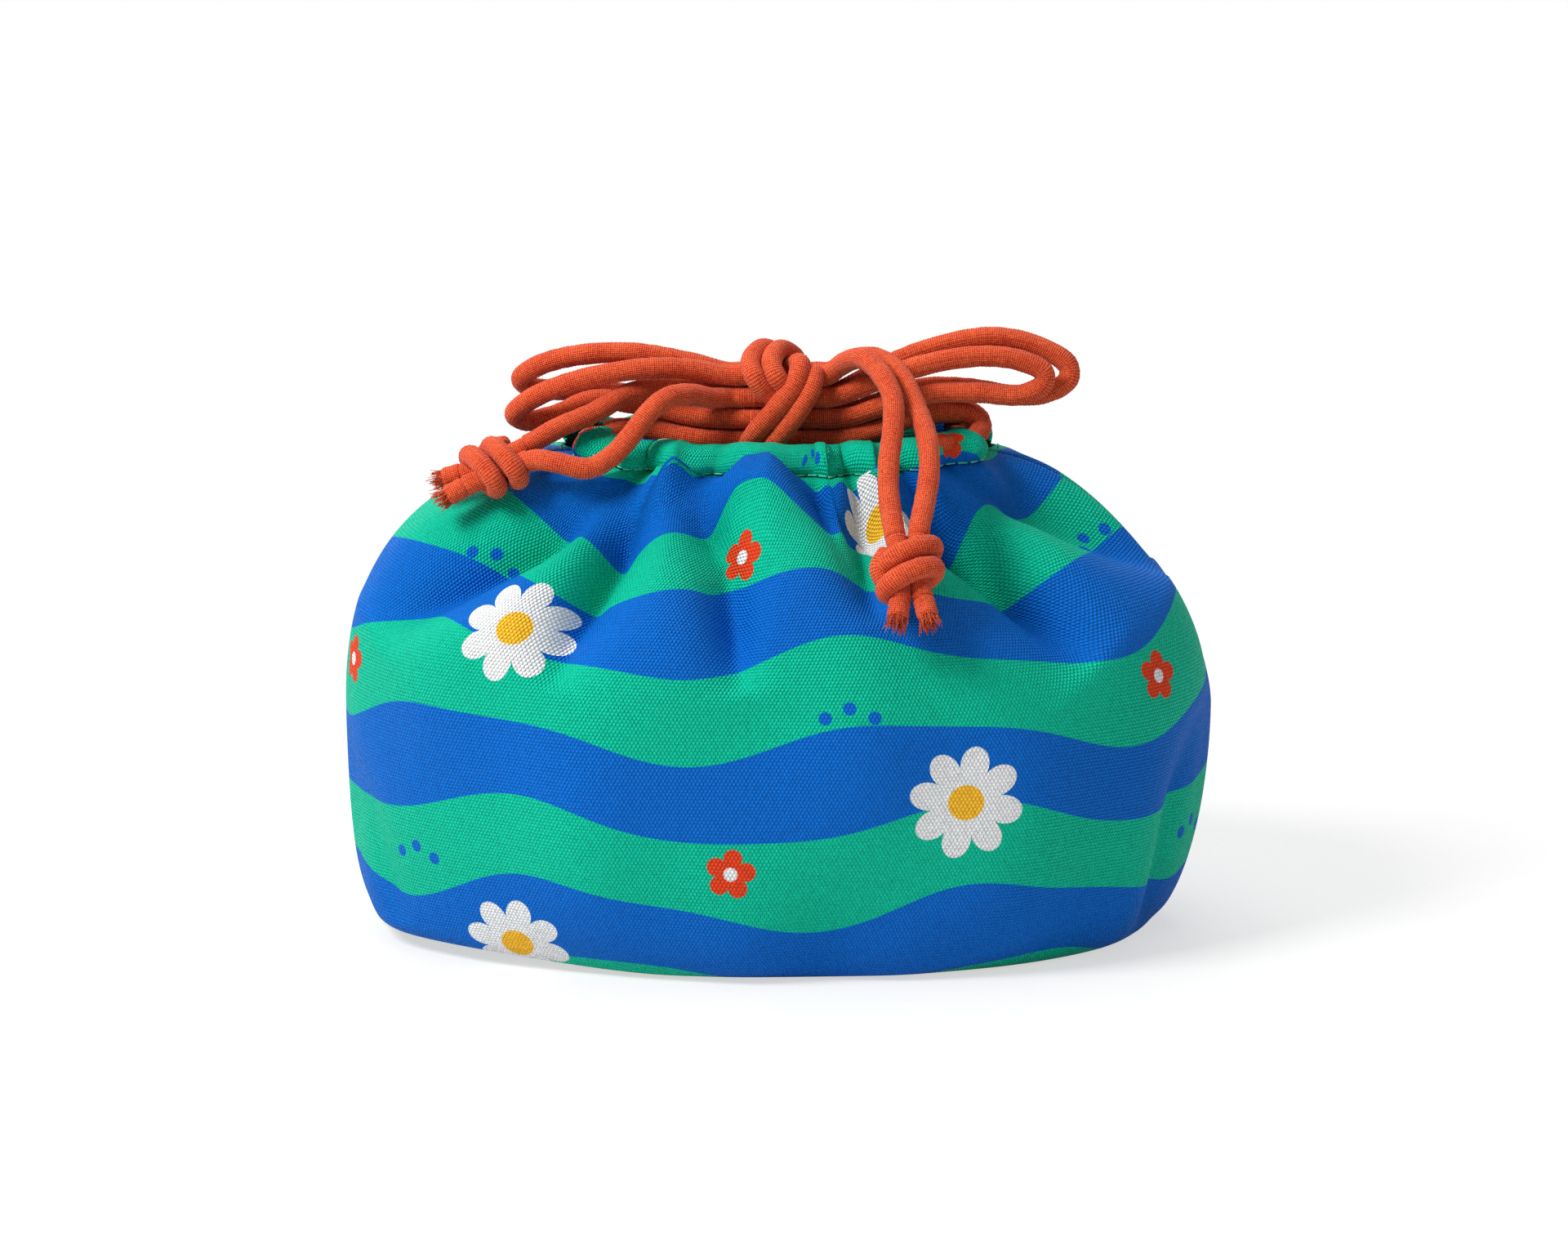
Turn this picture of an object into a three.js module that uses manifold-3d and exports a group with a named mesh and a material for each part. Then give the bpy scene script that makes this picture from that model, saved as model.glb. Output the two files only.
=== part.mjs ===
// Drawstring lunch pouch: two canvas panels with boxed corners, a gathered hem that carries two
// cotton cords, and the cords tied in one double bow with a stopper knot on each pair of ends.
// Millimetres, +Z up, +X to the right of the front, front towards -Y, origin at the base centre.
import * as THREE from 'three';
import { mergeVertices } from 'three/addons/utils/BufferGeometryUtils.js';
import Module from 'manifold-3d';

const wasm = await Module();
wasm.setup();

// Driving dimensions
const CLOTH = 0.9;
const CLEARANCE = 0.3;
const RIM_LAP = 1.5;
const BELLY_HALF_WIDTH = 117.5;
const BELLY_HALF_DEPTH = 74;
const BELLY_HEIGHT = 60;
const BASE_LEFT = 108;
const BASE_RIGHT = 97;
const BASE_HALF_DEPTH = 60;
const BASE_SEAM_HALF = 88;
const NECK_HALF_WIDTH = 56;
const NECK_HALF_DEPTH = 26;
const NECK_HEIGHT = 129;
const MOUTH_SAG = 3;
const SEAM_ALLOWANCE = 8;
const SEAM_THICKNESS = 1.8;
const CORNER_SEAM_HALF = 25;
const CORNER_SEAM_INSET = 8;
const CORD_DIAMETER = 5.5;
const CASING_WALL = 0.9;
const PINCH = 0.58;
const KNOT_GAP = 0.7;
const GATHER_RISE = 1.6;
const GATHERS = 9;
const SLIT_HALF = 11.5;
const THREAD_DIAMETER = 0.8;
const TACK = { length: 4, width: 3, height: 1 };

// Roundness of the pouch: exponents of the plan curve and of the wall above and below the belly
const BASE_ROUND = 2.2;
const NECK_ROUND = 2.5;
const LOWER_ROUND = { left: 2.4, right: 1.9, depth: 2.1 };
const UPPER_ROUND = { left: 2.1, right: 1.65, depth: 1.9 };

// Mesh steps
const PANEL_COLUMNS = 32;
const BASE_ROWS = 2;
const LOWER_ROWS = 5;
const UPPER_ROWS = 8;
const CASING_STEPS = 3 * GATHERS;

// Worked out from the sizes above
const CORD_RADIUS = CORD_DIAMETER / 2;
const LANE = CORD_RADIUS + CLEARANCE / 2;
const TUNNEL_HALF_WIDTH = LANE + CORD_RADIUS + CLEARANCE;
const TUNNEL_HALF_HEIGHT = CORD_RADIUS + CLEARANCE;
const CASING_HALF_WIDTH = TUNNEL_HALF_WIDTH + CASING_WALL;
const CASING_HALF_HEIGHT = TUNNEL_HALF_HEIGHT + CASING_WALL;
const CASING_WIDTH_AT = NECK_HALF_WIDTH + RIM_LAP - CASING_HALF_WIDTH;
const CASING_DEPTH_AT = NECK_HALF_DEPTH + RIM_LAP - CASING_HALF_WIDTH;
const CASING_HEIGHT_AT = NECK_HEIGHT + CLEARANCE + CASING_HALF_HEIGHT;

// Main folds of the cloth: side (-1 front, 1 back), depth, half-width and a line of points, each a
// place across the pouch and a share of the way up from the belly to the mouth, below 0 under the belly
const FOLDS = [
  { side: -1, depth: 19, width: 9, line: [[-33, 1], [-40, 0.76], [-52.6, 0.4], [-59, 0.24]] },
  { side: -1, depth: 15, width: 8.5, line: [[-40, 0.9], [-52, 0.78], [-68, 0.6], [-92, 0.39], [-105, 0.3]] },
  { side: -1, depth: 23, width: 9.5, line: [[-14.5, 1], [-19, 0.78], [-14.3, 0.54], [-10, 0.18]] },
  { side: -1, depth: 13, width: 7.5, line: [[14, 1], [21, 0.72], [26, 0.42]] },
  { side: -1, depth: 20, width: 9, line: [[30, 1], [38, 0.86], [50.8, 0.66], [64, 0.46], [80, 0.26]] },
  { side: -1, depth: 10, width: 8, line: [[46, 0.94], [72, 0.7], [102, 0.42]] },
  { side: 1, depth: 17, width: 8.5, line: [[-40, 0.95], [-62, 0.66], [-94, 0.34]] },
  { side: 1, depth: 18, width: 8.5, line: [[-25, 1], [-36, 0.7], [-49, 0.26]] },
  { side: 1, depth: 21, width: 9, line: [[-5, 1], [-8, 0.72], [-3, 0.22]] },
  { side: 1, depth: 17, width: 8, line: [[14, 1], [21, 0.7], [33, 0.34]] },
  { side: 1, depth: 18, width: 8.5, line: [[30, 1], [46, 0.7], [68, 0.32]] },
  { side: 1, depth: 14, width: 8.5, line: [[44, 0.94], [70, 0.66], [102, 0.36]] },
  { side: -1, depth: 8, width: 5, line: [[117, 0.1], [110, -0.12], [103, -0.34], [97, -0.56]] },
  { side: -1, depth: 5, width: 6, line: [[-117, 0], [-110, -0.22], [-100, -0.48]] },
  { side: 1, depth: 7, width: 6, line: [[-116, 0.08], [-108, -0.2], [-98, -0.5]] },
  { side: 1, depth: 6, width: 6, line: [[116, 0.05], [107, -0.24], [96, -0.5]] },
];
// Height of the shoulder along the cloth, and how far below the belly the base lies as a share of it
const SHOULDER_RISE = 95;
const LOWER_RISE = 0.65;
// The cloth between the folds swells out; folds and swell die away at the side seams and the rim
const LOBE_SWELL = 1.7;
const SWELL_FROM_SEAM = 45;
const FOLD_FROM_SEAM = 14;
const FOLD_FROM_RIM = 0.3;
const SWELL_FROM_BELLY = 0.35;
// A fold starts with part of its depth at the mouth, is soon full, then fades and narrows to its end
const FOLD_START = 0.3;
const FOLD_FULL_AT = 0.25;
const FOLD_FADE = 1.7;
const FOLD_TAPER = 0.35;

const cotton = (color) => new THREE.MeshStandardMaterial({ color, roughness: 0.85, metalness: 0 });
const CANVAS_GREEN = 0x05b595;
const CANVAS_BLUE = 0x025fb7;
const CORD_ORANGE = 0xce4326;
const THREAD_GREEN = 0x0aa58a;

const pouch = new THREE.Group();

function addPiece(name, geometry, color) {
  geometry.computeVertexNormals();
  const mesh = new THREE.Mesh(geometry, cotton(color));
  mesh.name = name;
  pouch.add(mesh);
}

const lerp = (a, b, t) => a + (b - a) * t;
const signedPower = (v, e) => Math.sign(v) * Math.abs(v) ** e;

// Plan curve: a rounded oval whose left and right halves may differ in width
function planPoint(angle, left, right, depth, round) {
  const c = Math.cos(angle);
  const s = Math.sin(angle);
  const width = c < 0 ? left : right;
  return [width * signedPower(c, 2 / round), depth * signedPower(s, 2 / round)];
}

function planNormal(angle, width, depth, round) {
  const nx = signedPower(Math.cos(angle), 2 - 2 / round) / width;
  const ny = signedPower(Math.sin(angle), 2 - 2 / round) / depth;
  const length = Math.hypot(nx, ny);
  return [nx / length, ny / length];
}

// Share of the way from base to belly, or from neck to belly, on a rounded wall
const lowerShare = (turn, round) => Math.sin(turn) ** (2 / round);
const upperShare = (rise, round) => (1 - rise ** round) ** (1 / round);

// The mouth hangs lower in the middle of the front and back than at the side seams
const mouthSag = (angle) => MOUTH_SAG * Math.sin(angle) ** 2;

function smooth(t) {
  const c = Math.min(1, Math.max(0, t));
  return c * c * (3 - 2 * c);
}

// Nearest place on a fold's line to a point of the cloth: distance, and share of the way down it
function alongFold(line, x, rise) {
  let nearest = { gap: Infinity, share: 0 };
  let length = 0;
  for (let k = 0; k + 1 < line.length; k += 1) {
    const from = new THREE.Vector2(line[k][0], line[k][1] * SHOULDER_RISE);
    const step = new THREE.Vector2(line[k + 1][0], line[k + 1][1] * SHOULDER_RISE).sub(from);
    const size = step.length();
    const way = new THREE.Vector2(x, rise * SHOULDER_RISE).sub(from);
    const reach = Math.min(size, Math.max(0, way.dot(step) / size));
    const gap = way.addScaledVector(step, -reach / size).length();
    if (gap < nearest.gap) nearest = { gap, share: length + reach };
    length += size;
  }
  return { gap: nearest.gap, share: nearest.share / length };
}

// How far the folds draw the cloth in at a point: creased valleys, and lobes that swell between them
function foldDepth(x, y, rise) {
  let depth = -LOBE_SWELL * smooth(rise / SWELL_FROM_BELLY) * smooth(Math.abs(y) / SWELL_FROM_SEAM);
  for (const fold of FOLDS) {
    const { gap, share } = alongFold(fold.line, x, rise);
    const along = lerp(FOLD_START, 1, smooth(share / FOLD_FULL_AT)) * (1 - share ** FOLD_FADE);
    const across = Math.exp(-gap / (fold.width * (1 - FOLD_TAPER * share)));
    depth += fold.depth * along * across * smooth((fold.side * y) / FOLD_FROM_SEAM);
  }
  return depth * smooth((1 - rise) / FOLD_FROM_RIM);
}

// Face of the pouch without its folds, at an angle round the plan and a step up the panel: first
// across the base from the bottom seam, then up the lower wall to the belly, then over the shoulder
function plainPoint(angle, step) {
  if (step <= BASE_ROWS) {
    const t = step / BASE_ROWS;
    const [x, y] = planPoint(angle, BASE_LEFT, BASE_RIGHT, BASE_HALF_DEPTH, BASE_ROUND);
    const seamX = BASE_SEAM_HALF * signedPower(Math.cos(angle), 2 / BASE_ROUND);
    return new THREE.Vector3(lerp(seamX, x, t), y * t, 0);
  }
  if (step <= BASE_ROWS + LOWER_ROWS) {
    const turn = ((step - BASE_ROWS) / LOWER_ROWS) * (Math.PI / 2);
    const left = lerp(BASE_LEFT, BELLY_HALF_WIDTH, lowerShare(turn, LOWER_ROUND.left));
    const right = lerp(BASE_RIGHT, BELLY_HALF_WIDTH, lowerShare(turn, LOWER_ROUND.right));
    const depth = lerp(BASE_HALF_DEPTH, BELLY_HALF_DEPTH, lowerShare(turn, LOWER_ROUND.depth));
    const [x, y] = planPoint(angle, left, right, depth, BASE_ROUND);
    const rise = 1 - Math.cos(turn) ** (2 / LOWER_ROUND.depth);
    return new THREE.Vector3(x, y, BELLY_HEIGHT * rise);
  }
  const turn = ((step - BASE_ROWS - LOWER_ROWS) / UPPER_ROWS) * (Math.PI / 2);
  const rise = Math.sin(turn) ** (2 / UPPER_ROUND.depth);
  const leftShare = upperShare(rise, UPPER_ROUND.left);
  const rightShare = upperShare(rise, UPPER_ROUND.right);
  const depthShare = upperShare(rise, UPPER_ROUND.depth);
  const belly = planPoint(angle, BELLY_HALF_WIDTH, BELLY_HALF_WIDTH, BELLY_HALF_DEPTH, BASE_ROUND);
  const neck = casingPoint(angle, CASING_HALF_WIDTH - RIM_LAP, 0);
  const x = lerp(neck.x, belly[0], Math.cos(angle) < 0 ? leftShare : rightShare);
  const y = lerp(neck.y, belly[1], depthShare);
  const z = lerp(BELLY_HEIGHT, NECK_HEIGHT - mouthSag(angle), rise);
  return new THREE.Vector3(x, y, z);
}

function faceNormal(face, angle, step) {
  const da = 1e-3;
  const ds = 1e-3;
  const last = BASE_ROWS + LOWER_ROWS + UPPER_ROWS;
  const along = face(angle + da, step).sub(face(angle - da, step));
  const above = Math.min(step + ds, last - ds);
  const below = Math.max(step - ds, ds);
  const up = face(angle, above).sub(face(angle, below));
  return along.cross(up).normalize();
}

// Outer face of the pouch with its folds
function pouchPoint(angle, step) {
  const plain = plainPoint(angle, step);
  if (step <= BASE_ROWS) return plain;
  const lower = Math.min(1, (step - BASE_ROWS) / LOWER_ROWS);
  const upper = Math.max(0, (step - BASE_ROWS - LOWER_ROWS) / UPPER_ROWS);
  const depth = foldDepth(plain.x, plain.y, upper - LOWER_RISE * (1 - lower));
  return plain.addScaledVector(faceNormal(plainPoint, angle, step), -depth);
}

function pouchNormal(angle, step) {
  return faceNormal(pouchPoint, angle, step);
}

// Closed body between two grids of points, grid[row][column], wound so that the first faces out
function shellGeometry(outer, inner) {
  const rows = outer.length;
  const columns = outer[0].length;
  const positions = [];
  for (const grid of [outer, inner]) {
    for (const row of grid) {
      for (const p of row) positions.push(p.x, p.y, p.z);
    }
  }
  const at = (side, r, c) => side * rows * columns + r * columns + c;
  const faces = [];
  const quad = (a, b, c, d) => faces.push(a, b, c, a, c, d);
  for (let r = 0; r + 1 < rows; r += 1) {
    for (let c = 0; c + 1 < columns; c += 1) {
      quad(at(0, r, c), at(0, r, c + 1), at(0, r + 1, c + 1), at(0, r + 1, c));
      quad(at(1, r, c), at(1, r + 1, c), at(1, r + 1, c + 1), at(1, r, c + 1));
    }
    quad(at(0, r, 0), at(0, r + 1, 0), at(1, r + 1, 0), at(1, r, 0));
    const end = columns - 1;
    quad(at(0, r, end), at(1, r, end), at(1, r + 1, end), at(0, r + 1, end));
  }
  for (let c = 0; c + 1 < columns; c += 1) {
    const top = rows - 1;
    quad(at(0, 0, c), at(1, 0, c), at(1, 0, c + 1), at(0, 0, c + 1));
    quad(at(0, top, c), at(0, top, c + 1), at(1, top, c + 1), at(1, top, c));
  }
  const geometry = new THREE.BufferGeometry();
  geometry.setAttribute('position', new THREE.Float32BufferAttribute(positions, 3));
  geometry.setIndex(faces);
  return geometry;
}

// One panel, from side seam to side seam; the two panels meet edge to edge with a small gap
function panelGeometry(startAngle, side) {
  const outer = [];
  const inner = [];
  const gap = (side * CLEARANCE) / 2;
  for (let step = 0; step <= BASE_ROWS + LOWER_ROWS + UPPER_ROWS; step += 1) {
    const outerRow = [];
    const innerRow = [];
    for (let column = 0; column <= PANEL_COLUMNS; column += 1) {
      const angle = startAngle + (column / PANEL_COLUMNS) * Math.PI;
      const atSeam = column === 0 || column === PANEL_COLUMNS;
      const p = pouchPoint(angle, step);
      const n = step <= BASE_ROWS ? new THREE.Vector3(0, 0, -1) : pouchNormal(angle, step);
      const q = p.clone().addScaledVector(n, -CLOTH);
      if (atSeam) {
        p.y = 0;
        q.y = 0;
      }
      if (step === 0) q.y = p.y;
      p.y += gap;
      q.y += gap;
      outerRow.push(p);
      innerRow.push(q);
    }
    outer.push(outerRow);
    inner.push(innerRow);
  }
  return shellGeometry(outer, inner);
}

addPiece('front_panel', panelGeometry(Math.PI, -1), CANVAS_BLUE);
addPiece('back_panel', panelGeometry(0, 1), CANVAS_GREEN);

// Seam allowances inside the pouch: a fin down each side seam, a strip along the bottom seam, and a
// strip across each boxed corner
function sideSeamGeometry(angle) {
  const outer = [];
  const inner = [];
  const first = BASE_ROWS + 2;
  const last = BASE_ROWS + LOWER_ROWS + UPPER_ROWS - 2;
  for (let step = first; step <= last; step += 1) {
    const n = pouchNormal(angle, step).setY(0).normalize();
    const wall = pouchPoint(angle, step).setY(0);
    const near = wall.clone().addScaledVector(n, -(CLOTH + CLEARANCE));
    const far = wall.clone().addScaledVector(n, -(CLOTH + CLEARANCE + SEAM_ALLOWANCE));
    const half = new THREE.Vector3(0, SEAM_THICKNESS / 2, 0);
    outer.push([near.clone().sub(half), near.clone().add(half)]);
    inner.push([far.clone().sub(half), far.clone().add(half)]);
  }
  return angle === 0 ? shellGeometry(outer, inner) : shellGeometry(
    outer.map((row) => [row[1], row[0]]),
    inner.map((row) => [row[1], row[0]]),
  );
}

function stripGeometry(length, width, height, x, y, z) {
  const geometry = new THREE.BoxGeometry(length, width, height);
  geometry.translate(x, y, z + height / 2);
  return geometry;
}

addPiece('right_side_seam', sideSeamGeometry(0), CANVAS_BLUE);
addPiece('left_side_seam', sideSeamGeometry(Math.PI), CANVAS_BLUE);

const ON_BASE = CLOTH + CLEARANCE;
const leftCornerAt = -(BASE_LEFT - CORNER_SEAM_INSET - SEAM_ALLOWANCE);
const rightCornerAt = BASE_RIGHT - CORNER_SEAM_INSET - SEAM_ALLOWANCE;
const cornerStrip = (x) => stripGeometry(
  SEAM_ALLOWANCE, 2 * CORNER_SEAM_HALF, SEAM_THICKNESS, x, 0, ON_BASE,
);
addPiece('left_corner_seam', cornerStrip(leftCornerAt), CANVAS_GREEN);
addPiece('right_corner_seam', cornerStrip(rightCornerAt), CANVAS_GREEN);

const bottomStart = leftCornerAt + SEAM_ALLOWANCE / 2 + CLEARANCE;
const bottomEnd = rightCornerAt - SEAM_ALLOWANCE / 2 - CLEARANCE;
addPiece('bottom_seam', stripGeometry(
  bottomEnd - bottomStart, SEAM_ALLOWANCE, SEAM_THICKNESS,
  (bottomStart + bottomEnd) / 2, 0, ON_BASE,
), CANVAS_GREEN);

// Gathered hem: a flat tunnel round each half of the mouth, with ruffles standing on its top
function casingPoint(angle, outward, height) {
  const [x, y] = planPoint(angle, CASING_WIDTH_AT, CASING_WIDTH_AT, CASING_DEPTH_AT, NECK_ROUND);
  const [nx, ny] = planNormal(angle, CASING_WIDTH_AT, CASING_DEPTH_AT, NECK_ROUND);
  const z = CASING_HEIGHT_AT + height - mouthSag(angle);
  return new THREE.Vector3(x + nx * outward, y + ny * outward, z);
}

// Angle on the casing's middle line where it stands clear of the slit at a side seam
const slitAngle = Math.asin((SLIT_HALF / CASING_DEPTH_AT) ** (NECK_ROUND / 2));

function sectionRing(halfWidth, halfHeight, cut, rise) {
  return [
    [halfWidth, -halfHeight + cut], [halfWidth, halfHeight - cut],
    [halfWidth - cut, halfHeight + rise], [-halfWidth + cut, halfHeight + rise],
    [-halfWidth, halfHeight - cut], [-halfWidth, -halfHeight + cut],
    [-halfWidth + cut, -halfHeight], [halfWidth - cut, -halfHeight],
  ];
}

// Hollow tube between an outer and an inner run of rings, open at both ends
function tunnelGeometry(outerRings, innerRings) {
  const sides = outerRings[0].length;
  const count = outerRings.length;
  const positions = [];
  for (const rings of [outerRings, innerRings]) {
    for (const ring of rings) {
      for (const p of ring) positions.push(p.x, p.y, p.z);
    }
  }
  const at = (layer, r, s) => (layer * count + r) * sides + (s % sides);
  const faces = [];
  const quad = (a, b, c, d) => faces.push(a, b, c, a, c, d);
  for (let s = 0; s < sides; s += 1) {
    for (let r = 0; r + 1 < count; r += 1) {
      quad(at(0, r, s), at(0, r + 1, s), at(0, r + 1, s + 1), at(0, r, s + 1));
      quad(at(1, r, s), at(1, r, s + 1), at(1, r + 1, s + 1), at(1, r + 1, s));
    }
    const end = count - 1;
    quad(at(0, 0, s), at(0, 0, s + 1), at(1, 0, s + 1), at(1, 0, s));
    quad(at(0, end, s), at(1, end, s), at(1, end, s + 1), at(0, end, s + 1));
  }
  const geometry = new THREE.BufferGeometry();
  geometry.setAttribute('position', new THREE.Float32BufferAttribute(positions, 3));
  geometry.setIndex(faces);
  return geometry;
}

function casingGeometry(startAngle) {
  const outerRings = [];
  const innerRings = [];
  for (let step = 0; step <= CASING_STEPS; step += 1) {
    const share = step / CASING_STEPS;
    const angle = startAngle + lerp(slitAngle, Math.PI - slitAngle, share);
    const rise = GATHER_RISE * Math.sin(Math.PI * GATHERS * share) ** 2;
    const outer = sectionRing(CASING_HALF_WIDTH, CASING_HALF_HEIGHT, CASING_WALL, rise);
    const inner = sectionRing(TUNNEL_HALF_WIDTH, TUNNEL_HALF_HEIGHT, CASING_WALL / 2, 0);
    outerRings.push(outer.map(([w, h]) => casingPoint(angle, w, h)));
    innerRings.push(inner.map(([w, h]) => casingPoint(angle, w, h)));
  }
  return tunnelGeometry(outerRings, innerRings);
}

addPiece('front_casing', casingGeometry(Math.PI), CANVAS_GREEN);
addPiece('back_casing', casingGeometry(0), CANVAS_GREEN);

// Tubes along a curve
function roundSection(radius, sides) {
  const points = [];
  for (let i = 0; i < sides; i += 1) {
    const turn = (2 * Math.PI * i) / sides;
    points.push(new THREE.Vector2(radius * Math.cos(turn), radius * Math.sin(turn)));
  }
  return new THREE.Shape(points);
}

function tubeGeometry(points, radius, sides, steps, closed = false) {
  const path = new THREE.CatmullRomCurve3(points, closed, 'centripetal');
  const geometry = new THREE.ExtrudeGeometry(roundSection(radius, sides), {
    steps, extrudePath: path, bevelEnabled: false,
  });
  geometry.deleteAttribute('normal');
  geometry.deleteAttribute('uv');
  return mergeVertices(geometry, 1e-4);
}

// A strand is pinched thin at each end, where it enters a knot or goes on from the casing
function pinchEnds(geometry, points, radius) {
  const path = new THREE.CatmullRomCurve3(points, false, 'centripetal');
  const position = geometry.attributes.position;
  const vertex = new THREE.Vector3();
  for (const t of [0, 1]) {
    const centre = path.getPointAt(t);
    const tangent = path.getTangentAt(t);
    for (let i = 0; i < position.count; i += 1) {
      vertex.fromBufferAttribute(position, i).sub(centre);
      const onFace = Math.abs(vertex.dot(tangent)) < 1e-2 && vertex.length() < radius * 1.05;
      if (onFace) {
        vertex.multiplyScalar(PINCH).add(centre);
        position.setXYZ(i, vertex.x, vertex.y, vertex.z);
      }
    }
  }
  return geometry;
}

const vectors = (list) => list.map(([x, y, z]) => new THREE.Vector3(x, y, z));

// Row of stitches on the shoulder just outside each casing
function stitchGeometry(startAngle) {
  const points = [];
  const steps = 24;
  const outward = CASING_HALF_WIDTH + CLEARANCE + THREAD_DIAMETER / 2;
  const height = NECK_HEIGHT + CLEARANCE + THREAD_DIAMETER / 2 - CASING_HEIGHT_AT;
  for (let step = 0; step <= steps; step += 1) {
    const angle = startAngle + lerp(slitAngle, Math.PI - slitAngle, step / steps);
    points.push(casingPoint(angle, outward, height));
  }
  return tubeGeometry(points, THREAD_DIAMETER / 2, 6, steps);
}

addPiece('front_casing_stitch', stitchGeometry(Math.PI), THREAD_GREEN);
addPiece('back_casing_stitch', stitchGeometry(0), THREAD_GREEN);

// Bar tack on the side seam at the foot of each slit
const tackAt = NECK_HALF_WIDTH + CLEARANCE + TACK.length / 2;
const tackGeometry = (x) => stripGeometry(
  TACK.length, TACK.width, TACK.height, x, 0, NECK_HEIGHT + CLEARANCE,
);
addPiece('left_slit_tack', tackGeometry(-tackAt), THREAD_GREEN);
addPiece('right_slit_tack', tackGeometry(tackAt), THREAD_GREEN);

// Each cord lies in both casings: its two ends leave at one slit and it crosses the other slit.
// The left cord has the inner lane, the right cord the outer lane.
const CORD_SIDES = 8;
const LEAD_GAP = 3 * CLEARANCE;
// A lead starts this share of the slit away from the seam, and sets off along the casing
const LEAD_SHARE = 0.78;
const LEAD_AIM = 0.95;
const leadAngle = slitAngle * LEAD_SHARE;
function casingCordGeometry(exitAngle, lane) {
  const points = [];
  const steps = 40;
  for (let step = 0; step <= steps; step += 1) {
    const angle = exitAngle + lerp(leadAngle, 2 * Math.PI - leadAngle, step / steps);
    points.push(casingPoint(angle, lane, 0));
  }
  return tubeGeometry(points, CORD_RADIUS, CORD_SIDES, 32);
}

// Points on a lead where it goes on from the end of the cord in the casing, at given distances
function leadPoint(exitAngle, side, lane, distance) {
  const end = casingPoint(exitAngle + side * leadAngle, lane, 0);
  const next = casingPoint(exitAngle + side * leadAngle * LEAD_AIM, lane, 0);
  const p = end.clone().addScaledVector(next.sub(end).normalize(), distance);
  return [p.x, p.y, p.z];
}

addPiece('left_cord_in_casing', casingCordGeometry(Math.PI, -LANE), CORD_ORANGE);
addPiece('right_cord_in_casing', casingCordGeometry(0, LANE), CORD_ORANGE);

// Bow knot: eight strands pass through its waist, and two pairs of wraps cross over them
const KNOT_AT = new THREE.Vector3(0, -2, 141);
const KNOT_HALF_LENGTH = 9;
const STRAND_PITCH = CORD_DIAMETER + CLEARANCE;
const KNOT_COLUMNS = { front: KNOT_AT.y - STRAND_PITCH / 2, back: KNOT_AT.y + STRAND_PITCH / 2 };
const KNOT_ROWS = [-1.5, -0.5, 0.5, 1.5].map((row) => KNOT_AT.z + row * STRAND_PITCH);
const WAIST_SHARE = 0.45;
const WRAP_LEAN = 0.25;

function solidOf(geometry) {
  const merged = geometry.index ? geometry : mergeVertices(geometry, 1e-4);
  return new wasm.Manifold(new wasm.Mesh({
    numProp: 3,
    vertProperties: new Float32Array(merged.attributes.position.array),
    triVerts: new Uint32Array(merged.index.array),
  }));
}

function geometryOf(solid) {
  const mesh = solid.getMesh();
  const geometry = new THREE.BufferGeometry();
  geometry.setAttribute('position', new THREE.Float32BufferAttribute(mesh.vertProperties, 3));
  geometry.setIndex(Array.from(mesh.triVerts));
  return geometry;
}

function joined(geometries) {
  const solids = geometries.map(solidOf);
  return geometryOf(solids.reduce((sum, solid) => sum.add(solid)));
}

// Oval wrap round the X axis, leaning by a slope in X per height, at an offset along X
function wrapGeometry(centre, halfDepth, halfHeight, slope, offset) {
  const points = [];
  const count = 12;
  for (let i = 0; i < count; i += 1) {
    const turn = (2 * Math.PI * i) / count;
    const height = halfHeight * Math.cos(turn);
    points.push(new THREE.Vector3(
      centre.x + offset + slope * height,
      centre.y + halfDepth * Math.sin(turn),
      centre.z + height,
    ));
  }
  return tubeGeometry(points, CORD_RADIUS, CORD_SIDES, 18, true);
}

function bowKnotGeometry() {
  const pieces = [];
  for (const y of Object.values(KNOT_COLUMNS)) {
    for (const z of KNOT_ROWS) {
      const waistY = KNOT_AT.y + (y - KNOT_AT.y) * WAIST_SHARE;
      const waistZ = KNOT_AT.z + (z - KNOT_AT.z) * WAIST_SHARE;
      pieces.push(tubeGeometry(vectors([
        [KNOT_AT.x - KNOT_HALF_LENGTH, y, z],
        [KNOT_AT.x - KNOT_HALF_LENGTH * 0.7, y, z],
        [KNOT_AT.x, waistY, waistZ],
        [KNOT_AT.x + KNOT_HALF_LENGTH * 0.7, y, z],
        [KNOT_AT.x + KNOT_HALF_LENGTH, y, z],
      ]), CORD_RADIUS, CORD_SIDES, 4));
    }
  }
  const wrapDepth = STRAND_PITCH * 1.1;
  const wrapHeight = STRAND_PITCH * 1.6;
  for (const offset of [-0.5, 0.5]) {
    pieces.push(wrapGeometry(KNOT_AT, wrapDepth, wrapHeight, WRAP_LEAN, offset * STRAND_PITCH));
  }
  return joined(pieces);
}

addPiece('bow_knot', bowKnotGeometry(), CORD_ORANGE);

// Free strands: routes chosen by hand from the knot outwards, ends set back from what they meet
const [ROW_1, ROW_2, ROW_3, ROW_4] = KNOT_ROWS;
const { front: FRONT, back: BACK } = KNOT_COLUMNS;
const KNOT_FACE = KNOT_HALF_LENGTH + KNOT_GAP;
const STEP_DIAMETERS = 1.3;

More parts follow.
